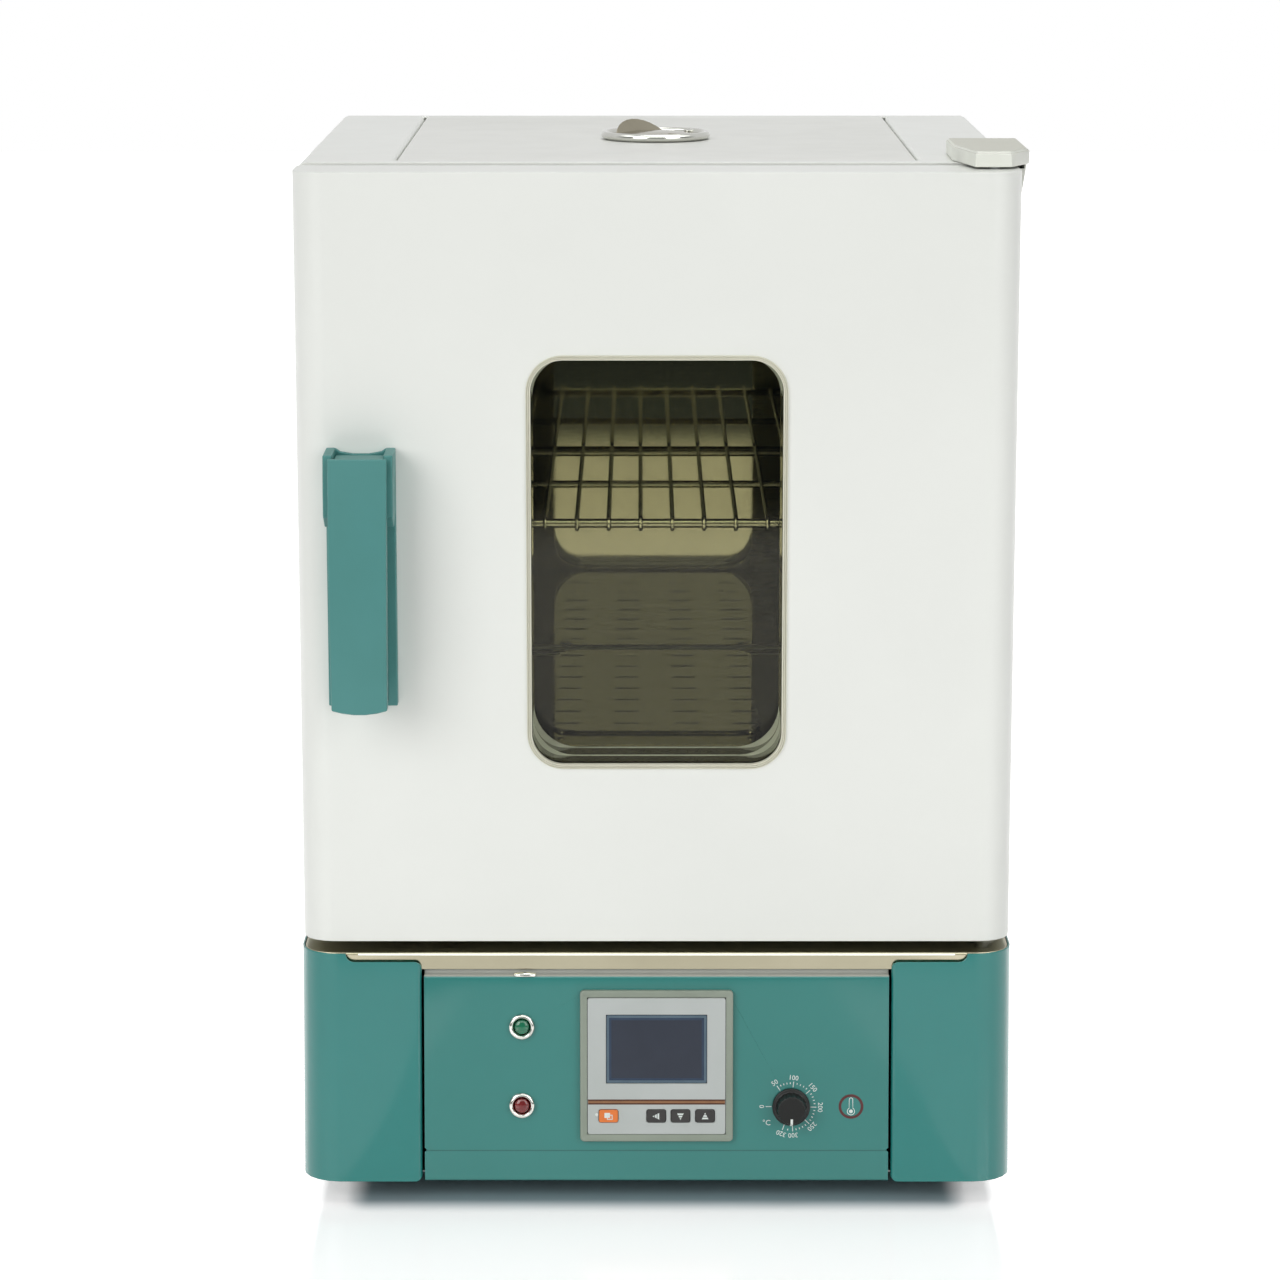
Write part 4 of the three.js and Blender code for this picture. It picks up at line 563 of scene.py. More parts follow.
def turned(shape, degrees):
    # turns the first two coordinates about the origin
    angle = math.radians(degrees)
    across, up = shape[0][:, 0], shape[0][:, 1]
    points = shape[0].copy()
    points[:, 0] = across * math.cos(angle) - up * math.sin(angle)
    points[:, 1] = across * math.sin(angle) + up * math.cos(angle)
    return points, shape[1]


def roundedLoop(width, height, radius, steps):
    # a quarter circle about each corner's centre, one after the other, counterclockwise
    radius = min(radius, width / 2, height / 2)
    angles = (np.arange(4) * math.pi / 2)[:, None] + np.linspace(0, math.pi / 2, steps + 1)
    centres = np.array([[1, 1], [-1, 1], [-1, -1], [1, -1]]) * [width / 2 - radius, height / 2 - radius]
    loop = centres[:, None] + radius * np.stack([np.cos(angles), np.sin(angles)], axis=-1)
    return loop.reshape(-1, 2)


def atDepth(loop, depth):
    return np.column_stack([loop, np.full(len(loop), float(depth))])


def block(width, height, radius, profile, steps=5, least=0.05, wrap=False):
    # a filled rounded rectangle for each (inset from the outer edge, depth)
    return loft([atDepth(roundedLoop(width - 2 * inset, height - 2 * inset, max(radius - inset, least), steps), depth)
                 for inset, depth in profile], wrap)


def rim(width, height, radius, profile, steps):
    # the same profile carried round, with an open middle
    return block(width, height, radius, profile, steps, least=0.2, wrap=True)


def ringBetween(outer, inner, low, high):
    return loft([atDepth(outer, low), atDepth(outer, high), atDepth(inner, high), atDepth(inner, low)], wrap=True)


def revolve(profile, steps=64, wrap=False):
    # each (radius, height) turned about the third axis
    profile = np.asarray(profile, float)
    angles = np.linspace(0, 2 * math.pi, steps, endpoint=False)
    across, up = profile[:, :1] * np.cos(angles), profile[:, :1] * np.sin(angles)
    return loft(np.stack([across, up, np.broadcast_to(profile[:, 1:], across.shape)], axis=-1), wrap)


def tube(path, radius, flat, sides, capSteps=4):
    # circles square to a path that lies in one plane, whose normal is flat; the ends close in a quarter round
    path, flat = np.asarray(path, float), np.asarray(flat, float)
    along = np.gradient(path, axis=0)
    along /= np.linalg.norm(along, axis=1)[:, None]
    angles = np.linspace(0, math.pi / 2, capSteps + 2)[1:-1]
    back, shrink = radius * (1 - np.cos(angles)), radius * np.sin(angles)
    head = path[0] + along[0] * back[:, None]
    tail = path[-1] - along[-1] * back[::-1, None]
    first, last = path[0] + along[0] * radius, path[-1] - along[-1] * radius
    radii = np.concatenate([shrink, np.full(len(path), float(radius)), shrink[::-1]])
    path = np.concatenate([head, [first], path[1:-1], [last], tail])
    along = np.concatenate([np.repeat(along[:1], capSteps, 0), along, np.repeat(along[-1:], capSteps, 0)])
    side = np.cross(flat, along)
    angles = np.linspace(0, 2 * math.pi, sides, endpoint=False)[:, None]
    return loft(path[:, None] + radii[:, None, None] * (np.cos(angles) * flat + np.sin(angles) * side[:, None]))


def straightTube(x, y, z, radius, flat, sides):
    # each of x, y and z is one value or a pair of ends
    ends = np.column_stack([np.resize(value, 2) for value in (x, y, z)]).astype(float)
    return tube([ends[0], ends.mean(axis=0), ends[1]], radius, flat, sides)


def alongX(section, half):
    # an outline of (y, z) drawn out to both sides
    return loft([np.column_stack([np.full(len(section), x), section]) for x in (-half, half)])


def screwHead(radius, rise):
    # a domed square grid drawn onto a disc, with a cross sunk into it, closed by a flat underside
    arm, reach, rimShare, recess, domeShare = 0.13, 0.59, 0.35, 0.5, 0.98
    half = np.array([0.12, 0.15, 0.32, 0.58, 0.6, 0.88, 1])
    line = np.concatenate([-half[::-1], half])
    u, v = np.meshgrid(line, line)
    across, up = u * np.sqrt(1 - v ** 2 / 2), v * np.sqrt(1 - u ** 2 / 2)
    inCross = ((abs(u) < arm) & (abs(v) < reach)) | ((abs(v) < arm) & (abs(u) < reach))
    dome = np.sqrt(np.clip(1 - (across ** 2 + up ** 2) * domeShare, 0, 1))
    height = rise * (rimShare + (1 - rimShare) * dome) - inCross * recess * rise
    top = np.stack([across * radius, up * radius, height], axis=-1).reshape(-1, 3)
    index = np.arange(line.size ** 2).reshape(line.size, line.size)
    cells = np.stack([index[:-1, :-1], index[:-1, 1:], index[1:, 1:], index[1:, :-1]], axis=-1).reshape(-1, 4)
    edge = np.concatenate([index[0, :-1], index[:-1, -1], index[-1, :0:-1], index[:0:-1, 0]])
    low = np.arange(len(edge)) + line.size ** 2
    sides = np.stack([edge, low, np.roll(low, -1), np.roll(edge, -1)], axis=-1)
    points = np.concatenate([top, top[edge] * [1, 1, 0]])
    return points, facingOut(points, cells.tolist() + sides.tolist() + [low[::-1].tolist()])


# Local axes are across, up and out towards the viewer

def onDoor(shape, across=0, up=0, out=0):
    points = shape[0] + [across, up, out]
    return np.column_stack([points[:, 0], -points[:, 2], points[:, 1]]), shape[1]


def onBack(shape, across=0, up=0, out=0):
    # the same on a face that looks back: across runs to the left as seen from the front
    points = shape[0]
    return np.column_stack([across - points[:, 0], out + points[:, 2], up + points[:, 1]]), shape[1]


panel = {"lean": 6.0, "height": 89.0, "top": 160.0, "nose": 8.0}
bezelLow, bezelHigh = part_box("controller_bezel")
panelMiddle = ((bezelLow.x + bezelHigh.x) / 2 - origin[0]) / millimetre


def onPanel(shape, across=0, up=0, out=0):
    # the leaning control panel: up and out are turned by its lean
    lean = math.radians(panel["lean"])
    points = shape[0] + [across + panelMiddle, up, out]
    front = -panel["nose"] - (panel["top"] - panel["height"]) * math.tan(lean)
    back = front + points[:, 1] * math.sin(lean) - points[:, 2] * math.cos(lean)
    height = panel["height"] + points[:, 1] * math.cos(lean) + points[:, 2] * math.sin(lean)
    return np.column_stack([points[:, 0], back, height]), shape[1]


# Pieces

def evenNormals(piece, keepSharp):
    configure(piece.modifiers.new("evenNormals", "WEIGHTED_NORMAL"), keep_sharp=keepSharp, weight=60)


def joinFrame(piece, body, look, replaced):
    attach(piece, body)
    slotOf(look)
    if replaced:
        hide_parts(*replaced)
    return piece


def newPiece(name, shape, look, *replaced, body="cabinet", sharp=38):
    # smooth shading that stays flat on flat faces, with edges steeper than the given angle kept sharp
    mesh = bpy.data.meshes.new(name)
    mesh.from_pydata(place(shape[0]), [], shape[1])
    mesh.update()
    mesh.materials.append(finish[look])
    mesh.polygons.foreach_set("use_smooth", np.ones(len(mesh.polygons), bool))
    mesh.set_sharp_from_angle(angle=math.radians(sharp))
    piece = linked(name, mesh)
    evenNormals(piece, True)
    return joinFrame(piece, body, look, replaced)


copyLook = {"vertex": 2e-6, "flat": 0.6, "edge": 30}  # metres within which points merge, and degrees


def fineCopy(node, look, edge, kind="smooth", body="cabinet", segments=2):
    # a CAD node's merged copy with its flat faces made whole and its sharp edges rounded by a bevel.
    # "split" and "flat" cut faces with many holes into triangles again; "flat" keeps each of them a true mirror
    work = bmesh.new()
    work.from_mesh(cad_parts[node].data)
    bmesh.ops.remove_doubles(work, verts=work.verts, dist=copyLook["vertex"])
    bmesh.ops.dissolve_limit(work, angle_limit=math.radians(copyLook["flat"]), verts=work.verts, edges=work.edges)
    if kind != "smooth":
        bmesh.ops.triangulate(work, faces=[face for face in work.faces if len(face.verts) > 4])
    name = node + "_fine"
    mesh = bpy.data.meshes.new(name)
    work.to_mesh(mesh)
    work.free()
    mesh.materials.append(finish[look])
    piece = linked(name, mesh)
    mesh.polygons.foreach_set("use_smooth", np.full(len(mesh.polygons), kind != "flat"))
    configure(piece.modifiers.new("softEdges", "BEVEL"), width=edge * millimetre, segments=segments,
              limit_method="ANGLE", angle_limit=math.radians(copyLook["edge"]), use_clamp_overlap=False,
              miter_outer="MITER_ARC")
    if kind != "flat":
        evenNormals(piece, False)
    return joinFrame(piece, body, look, [node])


def dress(node, look):
    # a CAD node that stays: only its finish changes
    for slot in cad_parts[node].material_slots:
        slot.material = finish[look]


# Door

doorCopies = {"door_shell": ("whitePaint", 0.6, "smooth", "door"), "door_liner": ("stainless", 0.5, "smooth", "door")}
handleCopies = {
    "handle_base": ("tealPlastic", 0.8, "smooth", "door", 3),
    "handle_lever": ("tealPlastic", 0.9, "smooth", "lever", 3),
    "latch_hook": ("zincSteel", 0.3, "smooth", "lever"),
}
door = {
    "middle": 409.5,           # height of the window's middle
    "window": (163, 262, 23),  # width, height and corner radius
    "windowSteps": 12, "sealSteps": 10,  # how many each corner takes
    # insets from the window's outer edge, and how far they stand before the door's face
    "trim": [(0.15, 0.1), (0.15, 1.2), (0.25, 1.45), (0.45, 1.55), (0.7, 1.45), (0.8, 0.5), (1.15, 0.5), (1.2, 1.5),
             (1.35, 1.8), (1.75, 1.8), (1.9, 1.5), (1.95, 0.7), (2.2, 0.7), (2.25, 1.25), (2.4, 1.45), (2.95, 1.4),
             (3.15, 1.1), (3.15, -2.5), (2.3, -2.5), (2.3, 0.1)],
    "sleeve": [(2.1, -7.1), (3.3, -7.1), (3.3, -47.9), (2.1, -47.9)],
    "lips": [(-46.6, 28), (-24.0, 26)],  # depth of the front and corner radius
    "lipInset": 3.2, "lipThick": 0.8, "lipHeight": 0.45, "lipWidth": 0.05,
    "seal": (346, 396, 24), "sealThick": 10, "sealFront": -54.3,
    "bulb": [(0.9, 0), (0.1, 0.9), (0, 2.2), (0.4, 4.2), (1.4, 5.6), (2.6, 6.4), (3.8, 5.9), (4.4, 5.0)],
}


def fineCopies(rows):
    return {node: fineCopy(node, *row) for node, row in rows.items()}


def makeDoor(middle, window, windowSteps, sealSteps, trim, sleeve, lips, lipInset, lipThick, lipHeight, lipWidth,
             seal, sealThick, sealFront, bulb):
    for name, look, node, profile in (("windowTrim", "creamRubber", "window_trim", trim),
                                      ("windowSleeve", "sleeveSteel", "window_sleeve", sleeve)):
        newPiece(name, onDoor(rim(*window, profile, windowSteps), up=middle), look, node, body="door")
    # pale lips against the inner pane and half way along the sleeve, wider in the corners
    width, height, corner = [window[0] - 2 * lipInset, window[1] - 2 * lipInset, window[2] - lipInset]
    outer = roundedLoop(width, height, corner, sealSteps)
    rings = []
    for front, innerCorner in lips:
        inner = roundedLoop(width - 2 * lipWidth, height - 2 * lipHeight, innerCorner, sealSteps)
        rings.append(onDoor(ringBetween(outer, inner, front - lipThick, front), up=middle))
    newPiece("paneSeals", joined(*rings), "palePlastic", body="door")
    # half a bulb on each side of a shallow channel that faces the cabinet
    section = bulb + [(sealThick - inset, depth) for inset, depth in bulb[::-1]]
    profile = [(inset, sealFront - depth) for inset, depth in section]
    newPiece("doorSeal", onDoor(rim(*seal, profile, sealSteps), up=middle), "whiteSilicone", "door_gasket",
             body="door")
    dress("door_insulation", "glassWool")
    dress("outer_glass", "windowGlass")
    dress("inner_glass", "windowGlass")


fineCopies(doorCopies)
makeDoor(**door)
fineCopies(handleCopies)
print("door and handle made")


# Cabinet

cabinetCopies = {
    "front_frame": ("whitePaint", 0.5), "side_panel_left": ("whitePaint", 0.35),
    "side_panel_right": ("whitePaint", 0.35), "top_cover": ("topPaint", 0.3),
    "rear_cover": ("whitePaint", 0.5, "flat"), "inner_chamber": ("chamberSteel", 0.4, "flat"),
    "floor_plate": ("plateSteel", 0.15, "flat"),
    "hinge_bracket_upper": ("zincSteel", 0.4), "hinge_bracket_lower": ("zincSteel", 0.4),
    "hinge_cover": ("ivoryPlastic", 0.6, "split"), "strike_plate": ("zincSteel", 0.3),
}
plateStrip = ([(367.2, 281.3), (367.2, 282.1), (367.5, 282.4), (369.5, 282.4), (369.5, 281.3)], 152.0)
plateSlots = {"pitch": (39, 37), "count": (4, 7), "shift": 14, "reach": (8.4, 1.4), "wider": 2.0}
plateScrews = {"places": [(x, y) for x in (-62, 62) for y in (94, 358)], "head": (2.6, 1.3)}


def widenSlots(piece, pitch, count, shift, reach, wider):
    # the slots' rims move apart along y so that their walls, darkened with painted shade, show
    mesh = piece.data
    flat = np.empty(len(mesh.vertices) * 3)
    mesh.vertices.foreach_get("co", flat)
    points = (flat.reshape(-1, 3) - origin) / millimetre
    middle = ((np.array(plateLow) + np.array(plateHigh)) / 2 - origin) / millimetre + [0, shift, 0]
    offset = points - middle
    near = np.ones(len(points), bool)
    for axis in (0, 1):
        half = (count[axis] - 1) / 2
        index = np.clip(np.round(offset[:, axis] / pitch[axis] + half), 0, 2 * half) - half
        offset[:, axis] -= index * pitch[axis]
        near &= abs(offset[:, axis]) < reach[axis]
    points[near, 1] += offset[near, 1] * (wider - 1)
    mesh.vertices.foreach_set("co", place(points).ravel())


newPiece("plateRearStrip", alongX(*plateStrip), "zincSteel")
widenSlots(fineCopies(cabinetCopies)["floor_plate"], **plateSlots)
dress("insulation_jacket", "glassWool")
dress("vent_duct", "polished")
newPiece("floorPlateScrews", joined(*[shifted(screwHead(*plateScrews["head"]), (x, y, plateHigh.z / millimetre))
                                      for x, y in plateScrews["places"]]), "brightChrome")

rear = {
    "face": 463.0,
    "paintedHoods": [(x, 185 + 14 * row) for x in (-95, 95) for row in range(6)],
    "baseHoods": [(95, 64 + 14 * row) for row in range(4)],
    "half": 33, "low": -2.4, "rise": 7.2, "out": 3.5, "sunk": 0.3, "sheet": 0.8,
    "bends": 9, "slices": 33,
    "blunt": 8, "least": 0.0004,  # the power that shapes a hood's ends, and what is left of it there
    "screws": [(-214, 172), (-214, 405), (-214, 640), (214, 172), (214, 405), (214, 640), (0, 640), (-212, 148),
               (212, 148), (-212, 28), (212, 28), (-20, 148)],
    "head": (3.4, 1.7),
}


def makeRear(face, paintedHoods, baseHoods, half, low, rise, out, sunk, sheet, bends, slices, blunt, least, screws,
             head):
    # a pressed hood over each slot, open below: quarter ellipses (out, up), out shrunk to nothing at the ends
    bend = np.linspace(0, math.pi / 2, bends)
    outer, inner = [np.column_stack([(out - less) * np.sin(bend), low + (rise - less) * np.cos(bend)])
                    for less in (0, sheet)]
    section = np.concatenate([outer, inner[::-1], [[-sunk, inner[0, 1]], [-sunk, outer[0, 1]]]])
    share = np.linspace(-1, 1, slices)
    height = np.sqrt(np.clip(1 - abs(share) ** blunt, least, 1))
    rings = [np.column_stack([np.full(len(section), s * half), section[:, 1],
                              np.where(section[:, 0] > 0, section[:, 0] * h, section[:, 0])])
             for s, h in zip(share, height)]
    hood = loft(rings)
    newPiece("rearHoods", joined(*[onBack(hood, x, z, face) for x, z in paintedHoods]), "whitePaint")
    newPiece("baseHoods", joined(*[onBack(hood, x, z, face) for x, z in baseHoods]), "zincSteel")
    newPiece("rearScrews", joined(*[onBack(screwHead(*head), x, z, face) for x, z in screws]), "brightChrome")


shelf = {"level": 423.5, "half": 151.5, "bars": [(70.8, 3.0), (226.885, 2.5), (365.3, 2.5)],  # y and radius
         "rod": 1.5, "count": 14, "pitch": 20.3, "hook": 4.0, "bite": 0.4,
         "curl": (90, 255, 10), "barSides": 16, "rodSides": 10}  # the curl's first and last degree and its steps


def makeShelf(level, half, bars, rod, count, pitch, hook, bite, curl, barSides, rodSides):
    shapes = [straightTube((-half, half), y, level, radius, (0, 1, 0), barSides) for y, radius in bars]
    # each rod lies on the bars and curls down round the front one
    (front, thick), _, (back, thin) = bars
    lie = level + thin + rod - bite
    curled = arc(thick + rod - bite, np.radians(np.linspace(*curl)), (front, level))
    course = np.concatenate([[(back, lie), ((front + back) / 2, lie), (front + hook, lie)], curled])
    for x in (np.arange(count) - (count - 1) / 2) * pitch:
        shapes.append(tube(np.column_stack([np.full(len(course), x), course]), rod, (1, 0, 0), rodSides))
    newPiece("wireShelf", joined(*shapes), "shelfWire", "wire_shelf", body="wire_shelf")


rack = {"wall": 154.7, "strip": 12, "corner": 3.0, "low": 279.8, "high": 577.2, "y": (102.8, 332.8),
        "profile": [(0.3, 0), (0, 0.3), (0, 1.5), (0.5, 2)], "runner": 2.0, "runnerAt": 151.1, "levels": 5,
        "first": 328.7, "pitch": 45, "overhang": 18, "sides": 10}


def makeRacks(wall, strip, corner, low, high, y, profile, runner, runnerAt, levels, first, pitch, overhang, sides):
    points, faces = block(strip, high - low, corner, profile)
    ends = (y[0] - overhang, y[1] + overhang)
    for side, name in ((-1, "Left"), (1, "Right")):
        shapes = []
        for middle in y:
            # the strip stands on the side wall: its own across runs along y, its out points into the chamber
            stood = np.column_stack([side * (wall - points[:, 2]), middle - side * points[:, 0],
                                     (low + high) / 2 + points[:, 1]])
            shapes.append((stood, facingOut(stood, faces)))
        for z in first + np.arange(levels) * pitch:
            shapes.append(straightTube(side * runnerAt, ends, z, runner, (1, 0, 0), sides))
        newPiece("shelfRack" + name, joined(*shapes), "shelfWire", "shelf_rack_" + name.lower())


heater = {"radius": 4.0, "level": 251.5, "half": 100.0, "legs": 4, "near": 102.8, "far": 332.8, "end": 390.8,
          "sides": 14, "legSteps": 6, "turnSteps": 14}


def makeHeater(radius, level, half, legs, near, far, end, sides, legSteps, turnSteps):
    # a serpentine: straight legs joined by half circles at the front and the back
    bend = half / (legs - 1)
    near, far = near + bend, far - bend
    turn = np.linspace(0, math.pi, turnSteps)[1:-1]
    runs = []
    for leg in range(legs):
        x = -half + 2 * bend * leg
        last = leg == legs - 1
        start, stop = (far, near) if leg % 2 == 0 else (near, far)
        line = np.linspace(end if leg == 0 else start, end if last else stop, legSteps)
        runs.append(np.column_stack([np.full(legSteps, x), line]))
        if not last:
            sign = -1 if leg % 2 == 0 else 1
            runs.append(np.column_stack([x + bend - bend * np.cos(turn), stop + sign * bend * np.sin(turn)]))
    newPiece("heaterTube", tube(atDepth(np.concatenate(runs), level), radius, (0, 0, 1), sides), "heaterTube",
             "heater_element")


probe = {"place": (-90.0, 529.5, -372.8), "radius": 2.5, "length": 60.0, "tip": (0, 1.45, 6), "steps": 32, "stem": [
    (2.5, -14.0), (2.5, 0.3), (7.6, 0.3), (8.0, 0.7), (8.0, 1.9), (7.6, 2.3), (3.4, 2.3), (3.2, 5.5), (2.5, 5.8)]}


def makeProbe(place, radius, length, tip, steps, stem):
    dome = arc(radius, np.linspace(*tip), (0, length - radius))
    newPiece("temperatureProbe", onDoor(revolve(np.concatenate([stem, dome]), steps), *place), "shelfWire",
             "temperature_probe")


vent = {"place": (0, 251.0, 654.0), "middle": 33.9, "bead": 2.6, "lift": 0.3, "over": (-85, 190, 22),
        "foot": [(-2.6, 0.7), (-0.4, 0)], "under": 0.6,  # the plate ends this share of the bead inside its middle
        "plate": 1.5, "flapRadius": 27.3, "chord": 16.5, "turn": 135, "steps": 96}
ventCopies = {"vent_disc": ("ventSteel", 0.12, "smooth", "vent_disc"),
              "vent_screw": ("brightChrome", 0.1, "smooth", "vent_disc")}


def makeVent(place, middle, bead, lift, over, foot, under, plate, flapRadius, chord, turn, steps):
    bulge = arc(bead, np.radians(np.linspace(*over)), (middle, lift + bead))
    section = np.concatenate([bulge, np.array(foot) + [middle, lift]])
    newPiece("ventBead", shifted(revolve(section, steps, wrap=True), place), "brightChrome", "vent_collar")
    # the plate inside the bead runs from a circle in to the flap's opening
    half = math.acos(chord / flapRadius)
    line = np.linspace(math.sin(half), -math.sin(half), steps // 2 + 2)[1:-1]
    hole = np.concatenate([arc(flapRadius, np.linspace(-half, half, steps // 2)),
                           np.column_stack([np.full(len(line), chord), flapRadius * line])])
    circle = arc(middle - bead * under, (np.arange(steps) - steps // 4) * 2 * math.pi / steps)
    shape = turned(ringBetween(circle, hole, lift, lift + plate), turn)
    newPiece("ventPlate", shifted(shape, place), "brightChrome", "vent_collar")


makeRear(**rear)
makeShelf(**shelf)
makeRacks(**rack)
makeHeater(**heater)
makeProbe(**probe)
makeVent(**vent)
fineCopies(ventCopies)
print("cabinet made")


# Base

apronEdge = ([(-8.03, 159.1), (-7.48, 160.0), (-7.0, 159.8), (-7.6, 158.8)], 189.0)  # a chamfer on its front bend
ledgeScrew = {"place": (-83.4, -8.6, 145.9), "head": (7.2, 2.3), "squash": (1, 0.33, 1)}
baseCopies = {
    "base_cover_left": ("tealPaint", 0.5), "base_cover_right": ("tealPaint", 0.5),
    "control_panel": ("panelPaint", 0.2, "split"), "apron_plate": ("apronSteel", 0.45),
    "base_pan": ("zincSteel", 0.4, "flat"),
}
feet = {"x": {"Left": -185.0, "Right": 185.0}, "y": {"Front": 32.0, "Back": 430.0}, "steps": 48, "profile": [
    (0.3, 3.0), (5.6, 3.0), (6.0, 2.6), (6.2, 0.3), (6.8, 0), (11.0, 0), (11.7, 0.4), (13.6, 4.2), (14, 5.2),
    (14, 12.9), (13.2, 13.7), (0.3, 13.7)]}


def makeLedgeScrew(place, head, squash):
    points, faces = screwHead(*head)
    newPiece("panelScrew", shifted((points * squash, faces), place), "brightChrome")


def makeFeet(x, y, steps, profile):
    for end, back in y.items():
        for side, across in x.items():
            newPiece("foot" + end + side, shifted(revolve(profile, steps), (across, back, 0)), "blackRubber",
                     f"foot_{end}_{side}".lower())


newPiece("apronEdge", alongX(*apronEdge), "brightChrome")
makeLedgeScrew(**ledgeScrew)
fineCopies(baseCopies)
makeFeet(**feet)


# Controller

faceFront = 3.9
bezel = {"size": (97, 97, 2.5), "profile": [
    (0, 0.3), (0, 3.1), (0.25, 3.75), (0.8, 4.0), (2.1, 4.0), (2.4, 3.8), (4.3, 3.5), (4.5, 3.3), (4.5, 0.3)]}
controllerCopies = {"controller_face": ("palePlastic", 0.15), "display_lens": ("darkLens", 0.15)}
screen = {"up": 11.0, "front": 3.7, "rims": {
    "screenBorder": ("screenEdge", (63.6, 43.6, 1.0), [(0.1, -0.1), (0.1, 0.14), (1.7, 0.1), (1.7, -0.1)]),
    "screenShadow": ("screenShade", (60.2, 40.2, 0.6), [(0, -0.1), (0, 0.07), (1.5, 0.05), (1.5, -0.1)])}}
stripe = {"up": -23.0, "width": 87.0, "line": 1.15, "gap": 1.0, "sunk": -0.05, "lineTop": 0.05, "gapTop": 0.04}
statusLamp = {"place": (-37.9, -31.2), "profile": [(1.0, -0.1), (1.0, 0.1), (0.7, 0.32), (0.05, 0.4)]}
keys = {
    "rows": {"key_menu": (-30.5, "orangeKey", None), "key_shift": (-0.2, "darkKey", 0),
             "key_down": (15.2, "darkKey", 90), "key_up": (30.8, "darkKey", -90)},  # across, look, arrow's turn
    "size": (12, 8, 1.2), "up": -32.0, "low": 2.7, "high": 4.9, "soft": 0.5, "bends": 5, "sunk": 0.02,
    "arrow": {"size": 4.6, "bars": 3, "thick": 0.09, "gap": 0.28, "tip": 0.02},
    "sheet": {"size": (3.6, 3.2, 0.3), "offset": (0.8, -0.6), "low": 0.07, "high": 0.13, "line": 0.5},
}


def stripedArrow(size, bars, thick, gap, tip):
    # a triangle that points left, cut into upright bars: each bar's two ends are as tall as the triangle there
    edges = np.linspace(0, 1, bars + 1)
    shapes = []
    for low, high in zip(edges[:-1], edges[1:] - gap / bars):
        corners = np.array([[low, -low / 2], [high, -high / 2], [high, high / 2], [low, low / 2 + tip]]) * size
        corners[:, 0] -= size / 2
        shapes.append(loft([atDepth(corners, 0), atDepth(corners, thick)]))
    return joined(*shapes)


def twoSheets(size, offset, low, high, line):
    # one sheet filled in, and another in outline before it
    x, y = offset
    outline = rim(*size, [(0, 0), (0, high), (line, high), (line, 0)], 3)
    return joined(shifted(block(*size, [(0, 0), (0, low)], 3), (-x, -y, 0)), shifted(outline, (x, y, 0)))


def makeStripe(up, width, line, gap, sunk, lineTop, gapTop):
    dark = block(width, line, 0, [(0, sunk), (0, lineTop)], 1)
    pale = block(width, gap, 0, [(0, sunk), (0, gapTop)], 1)
    shift = (line + gap) / 2
    newPiece("stripeLines", joined(*[onPanel(dark, up=up + side * shift, out=faceFront) for side in (1, -1)]),
             "brownInk")
    newPiece("stripeMiddle", onPanel(pale, up=up, out=faceFront), "tanInk")


def makeKeys(rows, size, up, low, high, soft, bends, sunk, arrow, sheet):
    bend = np.linspace(0, math.pi / 2, bends)
    wall = [(0, low)] + [(soft * (1 - math.cos(a)), high - soft * (1 - math.sin(a))) for a in bend]
    for name, (across, look, turn) in rows.items():
        newPiece(name + "_cap", onPanel(block(*size, wall), across, up), look, name, body=name)
        mark = twoSheets(**sheet) if turn is None else turned(stripedArrow(**arrow), turn)
        newPiece(name + "_mark", onPanel(mark, across, up, high - sunk), "whiteInk", body=name)


newPiece("controllerBezel", onPanel(rim(*bezel["size"], bezel["profile"], 6)), "greyPlastic", "controller_bezel")
fineCopies(controllerCopies)
dress("controller_case", "blackPlastic")
for rimName, (rimLook, rimSize, rimProfile) in screen["rims"].items():
    newPiece(rimName, onPanel(rim(*rimSize, rimProfile, 3), up=screen["up"], out=screen["front"]), rimLook)
makeStripe(**stripe)
newPiece("statusLamp", onPanel(revolve(statusLamp["profile"], 20), *statusLamp["place"], faceFront), "whiteInk")
makeKeys(**keys)


# Lamps and limiter

lamps = {"across": -85.5, "rows": {"run_lamp": (24.8, "greenLens"), "alarm_lamp": (-25.8, "redLens")},
         "radius": 8.2, "proud": 3.4, "lens": 4.6, "lensBack": -7.0, "dome": 1.6, "ringSteps": 64, "lensSteps": 48,
         "bulge": (-0.3, math.pi / 2, 8), "bow": (0, 1.52, 9),  # first and last angle, and steps
         "outside": [(5.0, -14.0), (6.0, -14.0), (6.0, 0.3), (8.0, 0.3)],
         "inside": [(6.5, 3.35), (5.9, 3.05), (5.2, 1.8), (5.0, 1.3)]}


def makeLamps(across, rows, radius, proud, lens, lensBack, dome, ringSteps, lensSteps, bulge, bow, outside, inside):
    edge = arc(proud / 2, np.linspace(*bulge), (radius - proud / 2, proud / 2))
    ring = revolve(np.concatenate([outside, edge, inside]), ringSteps, wrap=True)
    angles = np.linspace(*bow)
    front = np.column_stack([lens * np.cos(angles), proud - dome + dome * np.sin(angles)])
    glass = revolve(np.concatenate([[(lens, lensBack)], front]), lensSteps)
    for name, (up, look) in rows.items():
        newPiece(name + "_ring", onPanel(ring, across, up), "brightChrome", name + "_bezel")
        newPiece(name + "_glass", onPanel(glass, across, up), look, name + "_lens")


